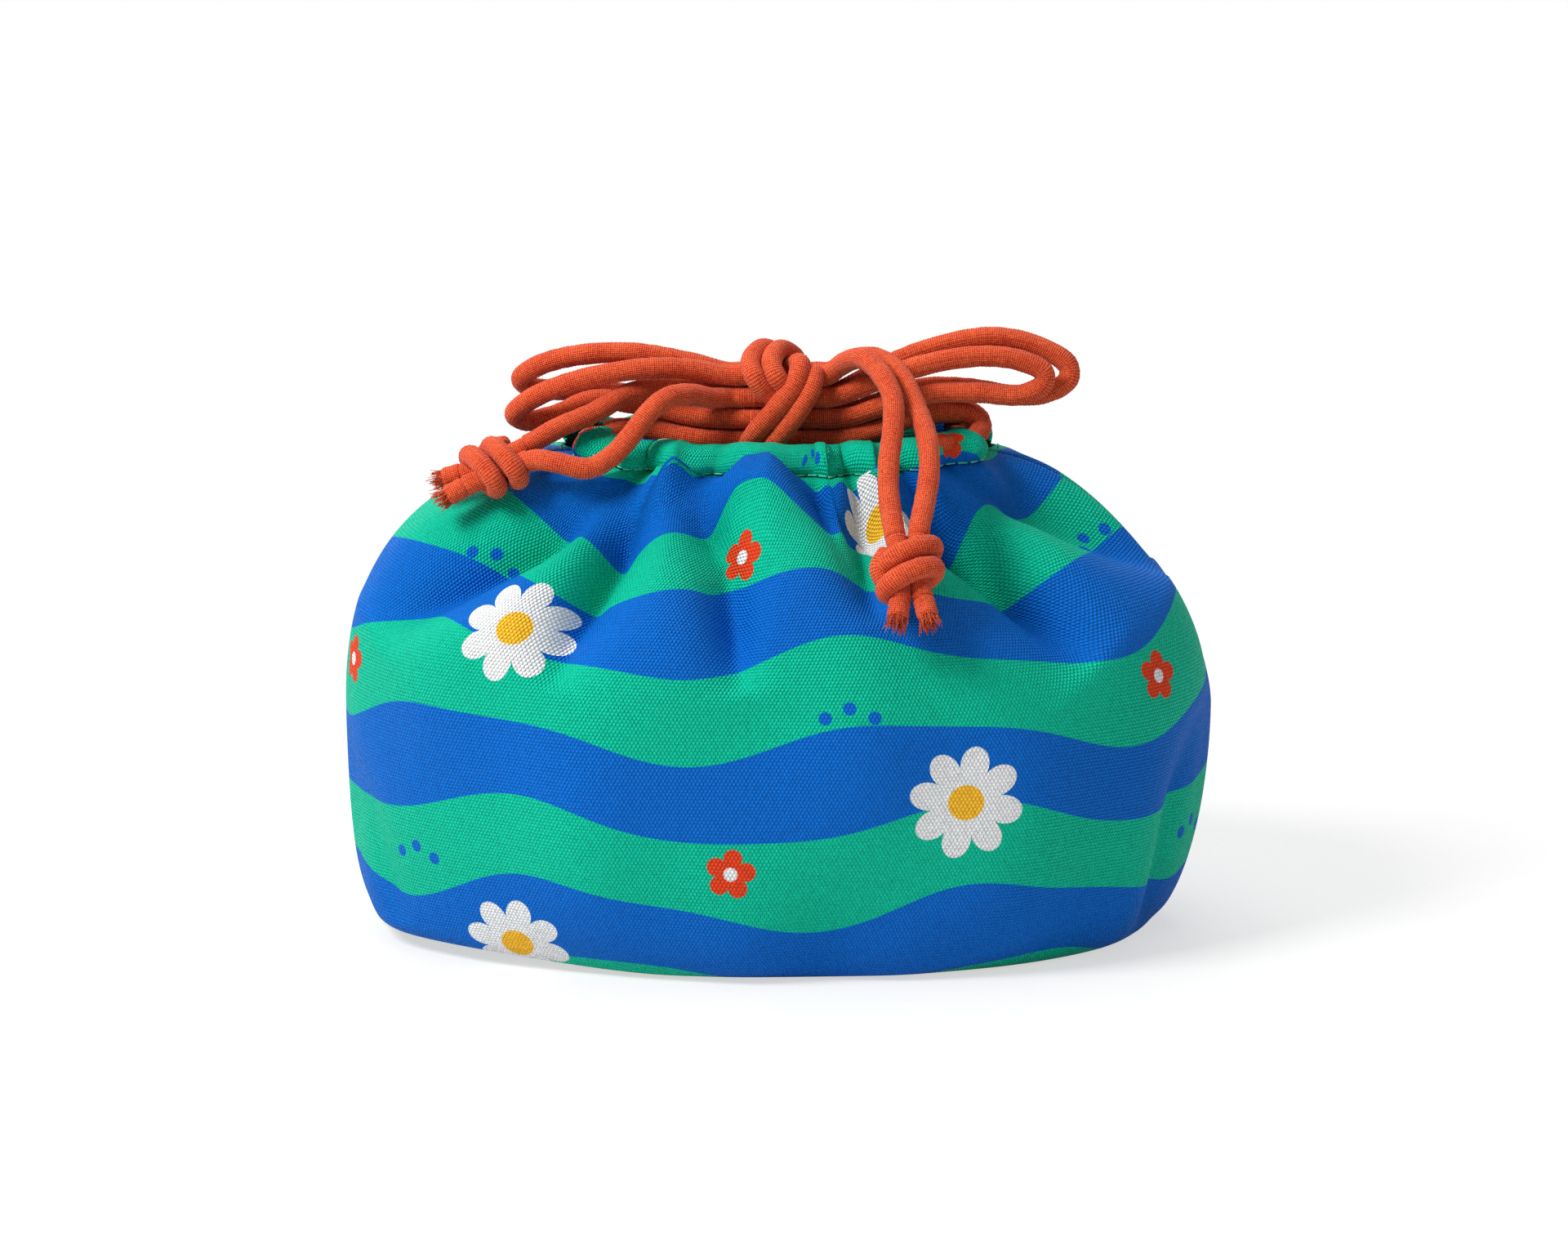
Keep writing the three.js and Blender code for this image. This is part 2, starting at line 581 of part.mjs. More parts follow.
const ROUTES = {
  left_loop_strand_1: [
    [-KNOT_FACE, BACK, ROW_4], [-14, BACK, ROW_4], [-24, 0, 152.4], [-39.6, 0, 155],
    [-55, 1.4, 154], [-65, 4, 150.8], [-69.5, 7, 147], [-67, 9.6, 144.2], [-60, 10.4, 143.4],
    [-48, 9.4, 143.2], [-35, 6, 142.2], [-22, 2.4, 139.6], [-14, BACK, ROW_2], [-KNOT_FACE, BACK, ROW_2],
  ],
  left_loop_strand_2: [
    [-KNOT_FACE, FRONT, ROW_4], [-14, FRONT, ROW_4], [-24, -6.6, 151.6], [-34, -8.6, 152.2],
    [-46, -9.6, 150.8], [-58, -9.4, 147.6], [-67, -8, 143.2], [-70.6, -5.6, 139.4],
    [-67.5, -2.8, 137.2], [-60, -1.2, 138.4], [-50, 0.6, 142.2], [-38, -0.2, 141.2], [-22, -4.4, 138.6],
    [-14, FRONT, ROW_2], [-KNOT_FACE, FRONT, ROW_2],
  ],
  right_loop_strand_1: [
    [KNOT_FACE, BACK, ROW_3], [14, BACK, ROW_3], [22, 0.8, 147.6], [31, 0.4, 152.6],
    [43.6, -0.4, 157.2], [57, -1.4, 159.4], [69, -2.6, 157], [76.6, -3.6, 152.2],
    [76.6, -4.2, 148.4], [71, -4.2, 145], [62, -3.6, 144.2], [50, -2.4, 145.8], [38, -1, 145.6],
    [26, 0.2, 141.4], [19, 0.8, 138.8], [14, BACK, ROW_2], [KNOT_FACE, BACK, ROW_2],
  ],
  right_loop_strand_2: [
    [KNOT_FACE, FRONT, ROW_3], [14, FRONT, ROW_3], [24, -6, 147.8], [35, -8, 152],
    [46, -9.4, 154.8], [56, -10.2, 155.6], [64, -10.6, 154.4], [69.8, -10.8, 151.4],
    [69.6, -10.8, 148.2], [64, -10.4, 145.4], [52, -9.4, 145.8], [38, -7.6, 145],
    [26, -5.8, 141.2], [19, -5, 138.8], [14, FRONT, ROW_2], [KNOT_FACE, FRONT, ROW_2],
  ],
  left_tail_strand_1: [
    [-KNOT_FACE, BACK, ROW_3], [-14, BACK, ROW_3], [-22, 0, 145.2], [-31, -2.6, 146],
    [-40, -8, 145.4], [-49, -14, 141.2], [-58, -18.6, 138], [-64.3, -21.5, 134.9],
    [-67.3, -22.3, 133.5],
  ],
  left_tail_strand_2: [
    [-KNOT_FACE, FRONT, ROW_3], [-13, FRONT, ROW_3], [-18, -8.6, 144.2],
    [-24, -14.4, 146.2], [-29.6, -19.4, 146], [-34.6, -23.4, 142.4], [-39, -26.4, 137],
    [-44, -29, 132], [-50, -31, 129.2], [-58, -31, 130.7], [-63.6, -29.4, 131.2], [-66.6, -28.5, 130.1],
  ],
  right_tail_strand_1: [
    [KNOT_FACE, FRONT, ROW_4], [12.5, FRONT, ROW_4], [17, -8.4, 153.6], [22, -16.4, 155.8],
    [26.5, -23, 152.8], [29.4, -29.4, 147.4], [29.4, -35.6, 140.6], [28.2, -42.4, 133.4],
    [28, -49, 126], [29, -56, 119], [29.7, -58.8, 115.6],
  ],
  right_tail_strand_2: [
    [KNOT_FACE, BACK, ROW_4], [13, BACK, ROW_4], [19.4, -2.6, 153.6],
    [25.8, -9.8, 155], [31.6, -18, 151.8], [35.8, -27, 144.2], [38.2, -35.6, 138],
    [38.6, -44, 130.8], [37.2, -51, 123.6], [35.8, -56.4, 118.4], [35.5, -58.8, 115.6],
  ],
};

// Leads from the slits, over the mouth, to the lowest row of the knot
const leftLaneAt = CASING_WIDTH_AT - LANE;
const rightLaneAt = CASING_WIDTH_AT + LANE;
for (const [number, side, column] of [[1, -1, FRONT], [2, 1, BACK]]) {
  ROUTES[`left_lead_${number}`] = [
    leadPoint(Math.PI, -side, -LANE, LEAD_GAP), leadPoint(Math.PI, -side, -LANE, 2),
    [-leftLaneAt + 4, side * 3.1, CASING_HEIGHT_AT + 0.8], [-34, side * 3.1 - 0.5, 134.4],
    [-24, side * 3 - 1.4, 133], [-14, column, ROW_1], [-KNOT_FACE, column, ROW_1],
  ];
  ROUTES[`right_lead_${number}`] = [
    leadPoint(0, side, LANE, LEAD_GAP), leadPoint(0, side, LANE, 1.5),
    [rightLaneAt + 0.2, side * 3.6, CASING_HEIGHT_AT + 3],
    [rightLaneAt - 3, side * 3.1, CASING_HEIGHT_AT + 5.6],
    [rightLaneAt - 7, side * 3.1, CASING_HEIGHT_AT + 6.2], [36, side * 3.1 - 0.4, 138.4],
    [25, side * 3 - 1.2, 134.6], [14, column, ROW_1], [KNOT_FACE, column, ROW_1],
  ];
}

for (const [name, route] of Object.entries(ROUTES)) {
  const points = vectors(route);
  const length = new THREE.CatmullRomCurve3(points, false, 'centripetal').getLength();
  const steps = Math.max(8, Math.round(length / (STEP_DIAMETERS * CORD_DIAMETER)));
  const tube = tubeGeometry(points, CORD_RADIUS, CORD_SIDES, steps);
  addPiece(name, pinchEnds(tube, points, CORD_RADIUS), CORD_ORANGE);
}

// Stopper knot on a pair of ends: two strands run through it, two wraps cross them, and the cut
// ends stand out below as two tips. Built along -Z from its upper face, then turned into place.
const STOPPER_HALF_LENGTH = 8;
const STOPPER_GAP = 0.7;
const STOPPER_WRAP = { halfDepth: 4.4, halfWidth: 6.6, lean: 0.3 };
const TIP_LENGTH = 9;
const TIP_SPREAD = 1.6;

function stopperGeometry() {
  const pieces = [];
  for (const side of [-1, 1]) {
    const x = (side * STRAND_PITCH) / 2;
    pieces.push(tubeGeometry(vectors([
      [x, 0, STOPPER_HALF_LENGTH], [x, 0, 0], [x, 0, -STOPPER_HALF_LENGTH],
    ]), CORD_RADIUS, CORD_SIDES, 2));
    const wrap = [];
    const count = 12;
    for (let i = 0; i < count; i += 1) {
      const turn = (2 * Math.PI * i) / count;
      const across = STOPPER_WRAP.halfWidth * Math.cos(turn);
      wrap.push(new THREE.Vector3(
        across,
        STOPPER_WRAP.halfDepth * Math.sin(turn),
        (side * STRAND_PITCH) / 2 + STOPPER_WRAP.lean * across,
      ));
    }
    pieces.push(tubeGeometry(wrap, CORD_RADIUS, CORD_SIDES, 16, true));
  }
  return joined(pieces);
}

function tipGeometry(side) {
  const x = (side * STRAND_PITCH) / 2;
  const top = -STOPPER_HALF_LENGTH - CLEARANCE;
  return tubeGeometry(vectors([
    [x, 0, top], [x + (side * TIP_SPREAD) / 3, 0, top - TIP_LENGTH / 2],
    [x + side * TIP_SPREAD, 0, top - TIP_LENGTH],
  ]), CORD_RADIUS, CORD_SIDES, 4);
}

// Upper face of each stopper lies square to the pair of strands that enter it
function placeStopper(prefix, entry, direction, across) {
  const down = direction.clone().normalize();
  const zAxis = down.clone().negate();
  const xAxis = across.clone().addScaledVector(zAxis, -across.dot(zAxis)).normalize();
  const yAxis = zAxis.clone().cross(xAxis);
  const centre = entry.clone().addScaledVector(down, STOPPER_HALF_LENGTH + STOPPER_GAP);
  const matrix = new THREE.Matrix4().makeBasis(xAxis, yAxis, zAxis).setPosition(centre);
  addPiece(`${prefix}_stopper_knot`, stopperGeometry().applyMatrix4(matrix), CORD_ORANGE);
  addPiece(`${prefix}_cord_tip_1`, tipGeometry(-1).applyMatrix4(matrix), CORD_ORANGE);
  addPiece(`${prefix}_cord_tip_2`, tipGeometry(1).applyMatrix4(matrix), CORD_ORANGE);
}

function pairEnd(prefix) {
  const ends = [1, 2].map((n) => vectors(ROUTES[`${prefix}_tail_strand_${n}`]).slice(-2));
  const entry = ends[0][1].clone().add(ends[1][1]).multiplyScalar(0.5);
  const before = ends[0][0].clone().add(ends[1][0]).multiplyScalar(0.5);
  const across = ends[1][1].clone().sub(ends[0][1]);
  return { entry, direction: entry.clone().sub(before), across };
}

for (const prefix of ['left', 'right']) {
  const { entry, direction, across } = pairEnd(prefix);
  placeStopper(prefix, entry, direction, across);
}

export default pouch;
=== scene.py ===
import math

import bpy
import mathutils
import numpy as np
from numpy.linalg import norm
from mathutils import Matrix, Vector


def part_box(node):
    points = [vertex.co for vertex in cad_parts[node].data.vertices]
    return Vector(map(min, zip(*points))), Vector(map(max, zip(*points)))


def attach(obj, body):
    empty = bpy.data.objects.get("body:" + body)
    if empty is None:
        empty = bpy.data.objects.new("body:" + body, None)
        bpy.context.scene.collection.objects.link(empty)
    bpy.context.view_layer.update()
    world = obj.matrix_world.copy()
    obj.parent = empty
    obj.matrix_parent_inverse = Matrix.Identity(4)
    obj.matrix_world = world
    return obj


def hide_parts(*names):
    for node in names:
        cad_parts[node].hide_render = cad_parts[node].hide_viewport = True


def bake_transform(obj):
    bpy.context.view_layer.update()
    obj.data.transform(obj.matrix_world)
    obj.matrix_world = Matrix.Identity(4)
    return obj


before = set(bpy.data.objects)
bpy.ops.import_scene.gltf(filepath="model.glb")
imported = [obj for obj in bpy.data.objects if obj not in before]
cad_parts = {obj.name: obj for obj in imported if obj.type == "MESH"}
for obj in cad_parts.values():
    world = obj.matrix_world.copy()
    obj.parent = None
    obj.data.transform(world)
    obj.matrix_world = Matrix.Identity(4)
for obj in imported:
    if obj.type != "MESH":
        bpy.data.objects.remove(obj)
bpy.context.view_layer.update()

MM = 0.001
TAU = 2 * math.pi
rng = np.random.default_rng(7)

# Sizes of the pouch in millimetres, as in the frame: half widths and depths, heights, outline exponents
CLOTH = 0.9
BELLY_WIDTH, BELLY_DEPTH, BELLY_HEIGHT = 117.5, 74.0, 60.0
BASE_LEFT, BASE_RIGHT, BASE_DEPTH = 108.0, 97.0, 60.0
BASE_SEAM_HALF = 88.0
NECK_HEIGHT, NECK_OUT, MOUTH_SAG = 129.0, 5.0, 3.0
CASING_WIDTH, CASING_DEPTH = 50.65, 20.65
BASE_ROUND, NECK_ROUND = 2.2, 2.5
LOWER_ROUND = {"left": 2.4, "right": 1.9, "depth": 2.1}
UPPER_ROUND = {"left": 2.1, "right": 1.65, "depth": 1.9}
CORD_DIAMETER = 5.5

# Cloth grid: columns run from the right seam round by the back, rows up the wall, a share below the belly
COLUMNS = 480
HALF = COLUMNS // 2
WALL_ROWS, BASE_ROWS = 121, 14
LOWER_SHARE = 0.36
FINE_STEPS = 40000

# Ruffles: how many at the back, valleys across the front; how far they swing, curl, tilt and crinkle
BACK_RUFFLES = 9
FRONT_VALLEYS = (-42, -33, -17, 8, 17, 31, 41)
RUFFLE_SWING, RUFFLE_SWING_INSIDE = 3.2, 1.9
RUFFLE_CURL, RUFFLE_TILT, CRINKLE = 0.5, 1.6, 0.3
# The casing's foot and inside, out from its middle line, and its height up to the roll at the top
CASING_FOOT, CASING_INSIDE, CASING_RISE = 6.8, -6.0, 5.2


def lerp(a, b, t):
    return a + (b - a) * t


def smooth(t):
    t = np.clip(t, 0.0, 1.0)
    return t * t * (3 - 2 * t)


def signed_power(v, e):
    return np.sign(v) * np.abs(v) ** e


def circle(count):
    return np.linspace(0, TAU, count, endpoint=False)[None, :]


def stacked(*values):
    return np.stack(np.broadcast_arrays(*values), axis=-1)


def running(steps):
    return np.concatenate([[0], np.cumsum(steps)])


def gaps(points, axis=0):
    """Distances from each point to the next along an axis of a grid."""
    return norm(np.diff(points, axis=axis), axis=-1)


def distances(points):
    """How far along a line of points each one lies."""
    return running(gaps(points))


# Shape of the pouch

def plan(angle, left, right, depth, round_):
    c = np.cos(angle)
    x = np.where(c < 0, left, right) * signed_power(c, 2 / round_)
    return x, depth * signed_power(np.sin(angle), 2 / round_)


def even_angles(width, depth, round_):
    """Angles that cut a closed outline into even steps from the right seam on, and its girth."""
    fine = np.linspace(0, TAU, FINE_STEPS + 1)
    x, y = plan(fine, width, width, depth, round_)
    length = running(np.hypot(np.diff(x), np.diff(y)))
    seam, girth = length[FINE_STEPS // 2], length[-1]
    halves = [np.linspace(*ends, HALF, endpoint=False) for ends in ((0, seam), (seam, girth))]
    return np.interp(np.concatenate(halves), length, fine), girth


BELLY_ANGLES, BELLY_GIRTH = even_angles(BELLY_WIDTH, BELLY_DEPTH, BASE_ROUND)
NECK_ANGLES = even_angles(CASING_WIDTH, CASING_DEPTH, NECK_ROUND)[0]


def mouth_plan(angle):
    """Place and outward direction round the middle line of the casing, seen from above."""
    x, y = plan(angle, CASING_WIDTH, CASING_WIDTH, CASING_DEPTH, NECK_ROUND)
    nx = signed_power(np.cos(angle), 2 - 2 / NECK_ROUND) / CASING_WIDTH
    ny = signed_power(np.sin(angle), 2 - 2 / NECK_ROUND) / CASING_DEPTH
    size = np.hypot(nx, ny)
    return x, y, nx / size, ny / size


def mouth_points(angle, outward, height):
    """Points round the mouth, at a height and a distance out from that line."""
    x, y, nx, ny = mouth_plan(angle)
    z = height - MOUTH_SAG * np.sin(angle) ** 2
    return stacked(x + nx * outward, y + ny * outward, z)


def pouch_wall():
    """Points of the plain wall, from the edge of the base up to the foot of the casing."""
    angle = BELLY_ANGLES[None, :]
    share = np.linspace(0, 1, WALL_ROWS)[:, None]
    turn = np.clip(share / LOWER_SHARE, 0, 1) * np.pi / 2
    low = {side: np.sin(turn) ** (2 / LOWER_ROUND[side]) for side in LOWER_ROUND}
    left, right = lerp(BASE_LEFT, BELLY_WIDTH, low["left"]), lerp(BASE_RIGHT, BELLY_WIDTH, low["right"])
    depth = lerp(BASE_DEPTH, BELLY_DEPTH, low["depth"])
    lower_z = BELLY_HEIGHT * (1 - np.cos(turn) ** (2 / LOWER_ROUND["depth"]))
    lower = stacked(*plan(angle, left, right, depth, BASE_ROUND), lower_z)
    high = np.clip((share - LOWER_SHARE) / (1 - LOWER_SHARE), 0, 1)
    rise = np.sin(high * np.pi / 2) ** (2 / UPPER_ROUND["depth"])
    belly_x, belly_y = plan(angle, BELLY_WIDTH, BELLY_WIDTH, BELLY_DEPTH, BASE_ROUND)
    neck = mouth_points(NECK_ANGLES, NECK_OUT, NECK_HEIGHT)
    side = np.where(np.cos(angle) < 0, UPPER_ROUND["left"], UPPER_ROUND["right"])
    upper_x = lerp(neck[:, 0], belly_x, np.maximum(1 - rise ** side, 0) ** (1 / side))
    deep = (1 - rise ** UPPER_ROUND["depth"]) ** (1 / UPPER_ROUND["depth"])
    upper_y = lerp(neck[:, 1], belly_y, deep)
    upper_z = lerp(BELLY_HEIGHT, NECK_HEIGHT - MOUTH_SAG * np.sin(angle) ** 2, rise)
    return np.where(share[..., None] > LOWER_SHARE, stacked(upper_x, upper_y, upper_z), lower)


def ruffle_phase():
    """Phase of the ruffles round the mouth, in whole turns at the valleys and side seams."""
    widths = rng.uniform(0.65, 1.45, BACK_RUFFLES)
    marks = running(widths) / widths.sum()
    back = np.interp(np.linspace(0, 1, HALF, endpoint=False), marks, np.arange(BACK_RUFFLES + 1))
    valleys = (-CASING_WIDTH, *FRONT_VALLEYS, CASING_WIDTH)
    front_x = mouth_plan(NECK_ANGLES)[0][HALF:]
    front = BACK_RUFFLES + np.interp(front_x, valleys, np.arange(len(valleys)))
    return np.concatenate([back, front]) * TAU


RUFFLE_PHASE = ruffle_phase()
RUFFLE_SIZE = 0.75 + 0.25 * np.cos(RUFFLE_PHASE / 3.0 + 1.0)
RUFFLE_LEAN = np.sin(RUFFLE_PHASE / 4.0 + 0.8) + 0.5 * np.sin(RUFFLE_PHASE / 2.0)


def ruffled_line(outward, height, swing, curl, tilt=0.0, drop=0.0):
    """The gathered cloth round the mouth at a height over the foot of the casing."""
    x, y, nx, ny = mouth_plan(NECK_ANGLES)
    radial = outward - swing * RUFFLE_SIZE * np.cos(RUFFLE_PHASE)
    radial += CRINKLE * np.sin(RUFFLE_PHASE * 3.0 + RUFFLE_LEAN) * np.sin(RUFFLE_PHASE / 2) ** 2
    along = tilt * RUFFLE_LEAN - curl * RUFFLE_SIZE * np.sin(2 * RUFFLE_PHASE)
    z = NECK_HEIGHT - MOUTH_SAG * np.sin(NECK_ANGLES) ** 2 + height - drop
    return stacked(x + nx * radial - ny * along, y + ny * radial + nx * along, z)


# Main folds, as (side, depth, half-width, line): points of the line are a place across in millimetres and
# a share of the way up from the belly to the mouth, less than 0 below the belly
FOLDS = (
    (-1, 24, 8.5, ((-33, 1.0), (-40, 0.76), (-52.6, 0.40), (-60, 0.18))),
    (-1, 20, 8.5, ((-40, 0.9), (-52, 0.78), (-68, 0.60), (-92, 0.39), (-108, 0.26))),
    (-1, 24, 8.5, ((-17, 1.0), (-19, 0.78), (-14.3, 0.54), (-10, 0.18))),
    (-1, 9, 5.0, ((8, 1.0), (12, 0.86), (15, 0.7))),
    (-1, 19, 7.5, ((17, 1.0), (21, 0.76), (26, 0.36))),
    (-1, 27, 9.0, ((30, 1.0), (38, 0.86), (50.8, 0.66), (64, 0.46), (82, 0.22))),
    (-1, 14, 8.0, ((46, 0.94), (72, 0.70), (104, 0.38))),
    (1, 17, 8.5, ((-40, 0.95), (-62, 0.66), (-94, 0.34))),
    (1, 18, 8.5, ((-25, 1.0), (-36, 0.7), (-49, 0.26))),
    (1, 21, 9.0, ((-5, 1.0), (-8, 0.72), (-3, 0.22))),
    (1, 17, 8.0, ((14, 1.0), (21, 0.7), (33, 0.34))),
    (1, 18, 8.5, ((30, 1.0), (46, 0.7), (68, 0.32))),
    (1, 14, 8.5, ((44, 0.94), (70, 0.66), (102, 0.36))),
    (-1, 8, 5.0, ((117, 0.10), (110, -0.12), (103, -0.34), (97, -0.56))),
    (-1, 5, 6.0, ((-117, 0.0), (-110, -0.22), (-100, -0.48))),
    (1, 7, 6.0, ((-116, 0.08), (-108, -0.2), (-98, -0.5))),
    (1, 6, 6.0, ((116, 0.05), (107, -0.24), (96, -0.5))),
)
# Millimetres up the wall from the belly to the mouth, and the base's share of that below the belly
FOLD_RISE, LOWER_RISE = 95.0, 0.65
# A fold's share of its depth at the mouth, where it is full, and how it fades and narrows
FOLD_START, FOLD_FULL_AT, FOLD_FADE, FOLD_NARROWING = 0.16, 0.42, 4.5, 0.45
# How folds keep clear of the side seams, merge where they meet, and round their crease
FOLD_FROM_SEAM, FOLD_MERGE, CREASE_ROUND = 14.0, 2.0, 2.4
# Swell of the cloth between folds, and where there is none, for the right tail to swing
LOBE_SWELL, TAIL_ROOM_AT, TAIL_ROOM_WIDTH = 3.5, 24.0, 28.0
# Lobes of the shoulder round the casing: height, reach, full width, and how far to the sides
LIP_HEIGHT, LIP_REACH, LIP_WIDTH, LIP_SPAN = 10.0, 28.0, 25.0, 40.0
# Lift of the front left corner, and where the upper wall starts to turn into the ruffles
CORNER_LIFT, GATHER_FROM = 3.0, 0.72
# Relaxing: most stretch over the plain wall, hold of the folds, share of a move that carries on, sag of a
# round, and rounds; then how firm slanting, wide and tall threads are
MOST_STRETCH, FOLD_HOLD, CARRY_ON, SAG, RELAX_ROUNDS = 2.3, 0.2, 0.86, 0.004, 60
SLANT_FIRM, WIDE_FIRM, TALL_FIRM = 0.3, 0.06, 0.10
# Soft dents all over the wall, as (waves round the pouch, turn per millimetre up, start, height)
DENTS = (
    (7, 0.035, 0.4, 0.65), (11, -0.05, 1.9, 0.55), (5, 0.07, 3.1, 0.65),
    (16, 0.03, 0.9, 0.35), (9, -0.09, 4.4, 0.4),
)


def along_fold(x, s, line):
    """Distance of each point from a fold's line, and the share of the line at its nearest place."""
    ends = np.array(line) * [1, FOLD_RISE]
    starts = distances(ends)
    best = np.full(x.shape, 1e9)
    place = np.zeros(x.shape)
    for k, step in enumerate(gaps(ends)):
        d = (ends[k + 1] - ends[k]) / step
        t = np.clip((x - ends[k, 0]) * d[0] + (s - ends[k, 1]) * d[1], 0, step)
        gap = np.hypot(x - ends[k, 0] - t * d[0], s - ends[k, 1] - t * d[1])
        place = np.where(gap < best, (starts[k] + t) / starts[-1], place)
        best = np.minimum(gap, best)
    return best, place


def seed_folds(points, high):
    """How far the cloth is drawn in: creased valleys with swelling lobes between them."""
    x, y = points[..., 0], points[..., 1]
    s = high * FOLD_RISE + 0 * x
    depth = -LOBE_SWELL * smooth(high / 0.35) * smooth((1 - high) / 0.25) * smooth(np.abs(y) / 45)
    depth *= 1 - smooth(-y / 20) * np.exp(-((x - TAIL_ROOM_AT) / TAIL_ROOM_WIDTH) ** 4)
    u = circle(COLUMNS)
    for waves, tilt, phase, size in DENTS:
        depth += size * np.sin(waves * u + tilt * s + phase) * smooth((high + LOWER_RISE) / 0.2)
    drawn = np.zeros(x.shape)
    for side, deep, width, line in FOLDS:
        gap, place = along_fold(x, s, line)
        along = lerp(FOLD_START, 1, smooth(place / FOLD_FULL_AT)) * (1 - place ** FOLD_FADE)
        narrow = width * (1 - FOLD_NARROWING * place)
        across = np.exp((CREASE_ROUND - np.hypot(gap, CREASE_ROUND)) / narrow)
        drawn += (deep * along * across * smooth(side * y / FOLD_FROM_SEAM)) ** FOLD_MERGE
    return depth + drawn ** (1 / FOLD_MERGE)


# Cloth relaxation: a grid of threads, each drawn in where it is stretched over its length

def outward_normals(points):
    around = np.roll(points, -1, axis=1) - np.roll(points, 1, axis=1)
    normal = np.cross(around, np.gradient(points, axis=0))
    return normal / np.maximum(norm(normal, axis=2), 1e-9)[..., None]


def thread_lengths(points):
    """Lengths of the threads across and up."""
    return norm(np.roll(points, -1, axis=1) - points, axis=2), gaps(points)


def draw_in(p, i, j, rest, firm, free):
    """Draws in the ends of threads that are over their length; slack threads stay as they are."""
    d = p[j] - p[i]
    size = norm(d, axis=1)
    both = free[i] + free[j]
    over = firm * np.maximum(size - rest, 0)
    share = np.where(both > 0, over / (np.maximum(size, 1e-6) * np.maximum(both, 1e-6)), 0)
    p[i] += d * (share * free[i])[:, None]
    p[j] -= d * (share * free[j])[:, None]


def thread_batches(across, up):
    """Threads in lists that share no point: across, up, slanting, and over two squares."""
    index = np.arange(across.size).reshape(across.shape)
    right, far = np.roll(index, -1, axis=1), np.roll(index, -2, axis=1)
    slant = np.hypot((across[1:] + across[:-1]) / 2, up)
    wide, tall = across + np.roll(across, -1, axis=1), up[:-1] + up[1:]
    batches = []

    def add(starts, ends, rest, firm):
        batches.append((starts.ravel(), ends.ravel(), rest.ravel(), firm))

    for k in (0, 1):
        add(index[:, k::2], right[:, k::2], across[:, k::2], 1.0)
        add(index[k:-1:2], index[k + 1::2], up[k::2], 1.0)
    for k in (0, 1):
        add(index[k:-1:2], right[k + 1::2], slant[k::2], SLANT_FIRM)
        add(right[k:-1:2], index[k + 1::2], slant[k::2], SLANT_FIRM)
    for k in range(4):
        for first in (k, k + 2) if k < 2 else ():
            add(index[:, first::4], far[:, first::4], wide[:, first::4], WIDE_FIRM)
        add(index[k:-2:4], index[k + 2::4], tall[k::4], TALL_FIRM)
    return batches


def relax(points, across, up):
    """Lets threads draw in while the folds hold; base edge and mouth stay in place."""
    free = np.ones(points.shape[:2])
    free[[0, -1]] = 0
    free = free.ravel()
    goal = points.reshape(-1, 3)
    p, last = goal.copy(), goal.copy()
    batches = thread_batches(across, up)
    for _ in range(RELAX_ROUNDS):
        move = (p - last) * CARRY_ON
        last = p.copy()
        p += move * free[:, None]
        p += (goal - p) * (FOLD_HOLD * free)[:, None]
        p[:, 2] -= SAG * free
        for i, j, rest, firm in batches:
            draw_in(p, i, j, rest, firm, free)
        p[:, 2] = np.maximum(p[:, 2], 0.0)
    return p.reshape(points.shape)


def lip_rise(points, top):
    """How far the shoulder stands up in lobes round the casing, with tucks between them."""
    away = np.hypot(points[..., 0] - top[None, :, 0], points[..., 1] - top[None, :, 1])
    step = norm(np.roll(top, -1, axis=0) - top, axis=1)
    turn = np.mod(np.roll(RUFFLE_PHASE, -1) - RUFFLE_PHASE, TAU)
    size = np.clip(TAU * step / turn / LIP_WIDTH, 0.3, 1)
    lobe = (0.5 - 0.5 * np.cos(RUFFLE_PHASE)) * size
    near = smooth(away / 5) * smooth((LIP_REACH - away) / (LIP_REACH - 6))
    return LIP_HEIGHT * lobe * near * smooth((LIP_SPAN - np.abs(points[..., 0])) / 14)


def gathered_wall():
    """The pouch wall: plain wall, seeded folds, lobes at the mouth, then the cloth relaxed."""
    plain = pouch_wall()
    row = np.arange(WALL_ROWS)[:, None]
    belly_row = round(LOWER_SHARE * (WALL_ROWS - 1))
    share = np.clip((row - belly_row) / (WALL_ROWS - 1 - belly_row), 0, 1)
    low = np.clip(row / belly_row, 0, 1)
    folds = seed_folds(plain, share - LOWER_RISE * (1 - low))
    shaped = plain - outward_normals(plain) * folds[..., None]
    shaped[0] = plain[0]
    lift = CORNER_LIFT * smooth((-plain[..., 0] - 25) / 60) * smooth(-plain[..., 1] / 20)
    shaped[..., 2] += lift * smooth(1 - row / belly_row)
    plain[0] = shaped[0]
    top = ruffled_line(CASING_FOOT, 0.0, RUFFLE_SWING, RUFFLE_CURL)
    gather = smooth((share - GATHER_FROM) / (1 - GATHER_FROM))[..., None]
    shaped += (top - shaped[-1])[None] * gather
    shaped[..., 2] += lip_rise(shaped, top) * smooth(share / 0.3)
    lengths = zip(thread_lengths(shaped), thread_lengths(plain))
    across, up = (np.minimum(now, before * MOST_STRETCH) for now, before in lengths)
    return relax(shaped, across, up)


# Meshes

# Millimetres of cloth and of cord to one unit of their flat coordinates
CLOTH_UNIT, CORD_UNIT = 100.0, 10.0


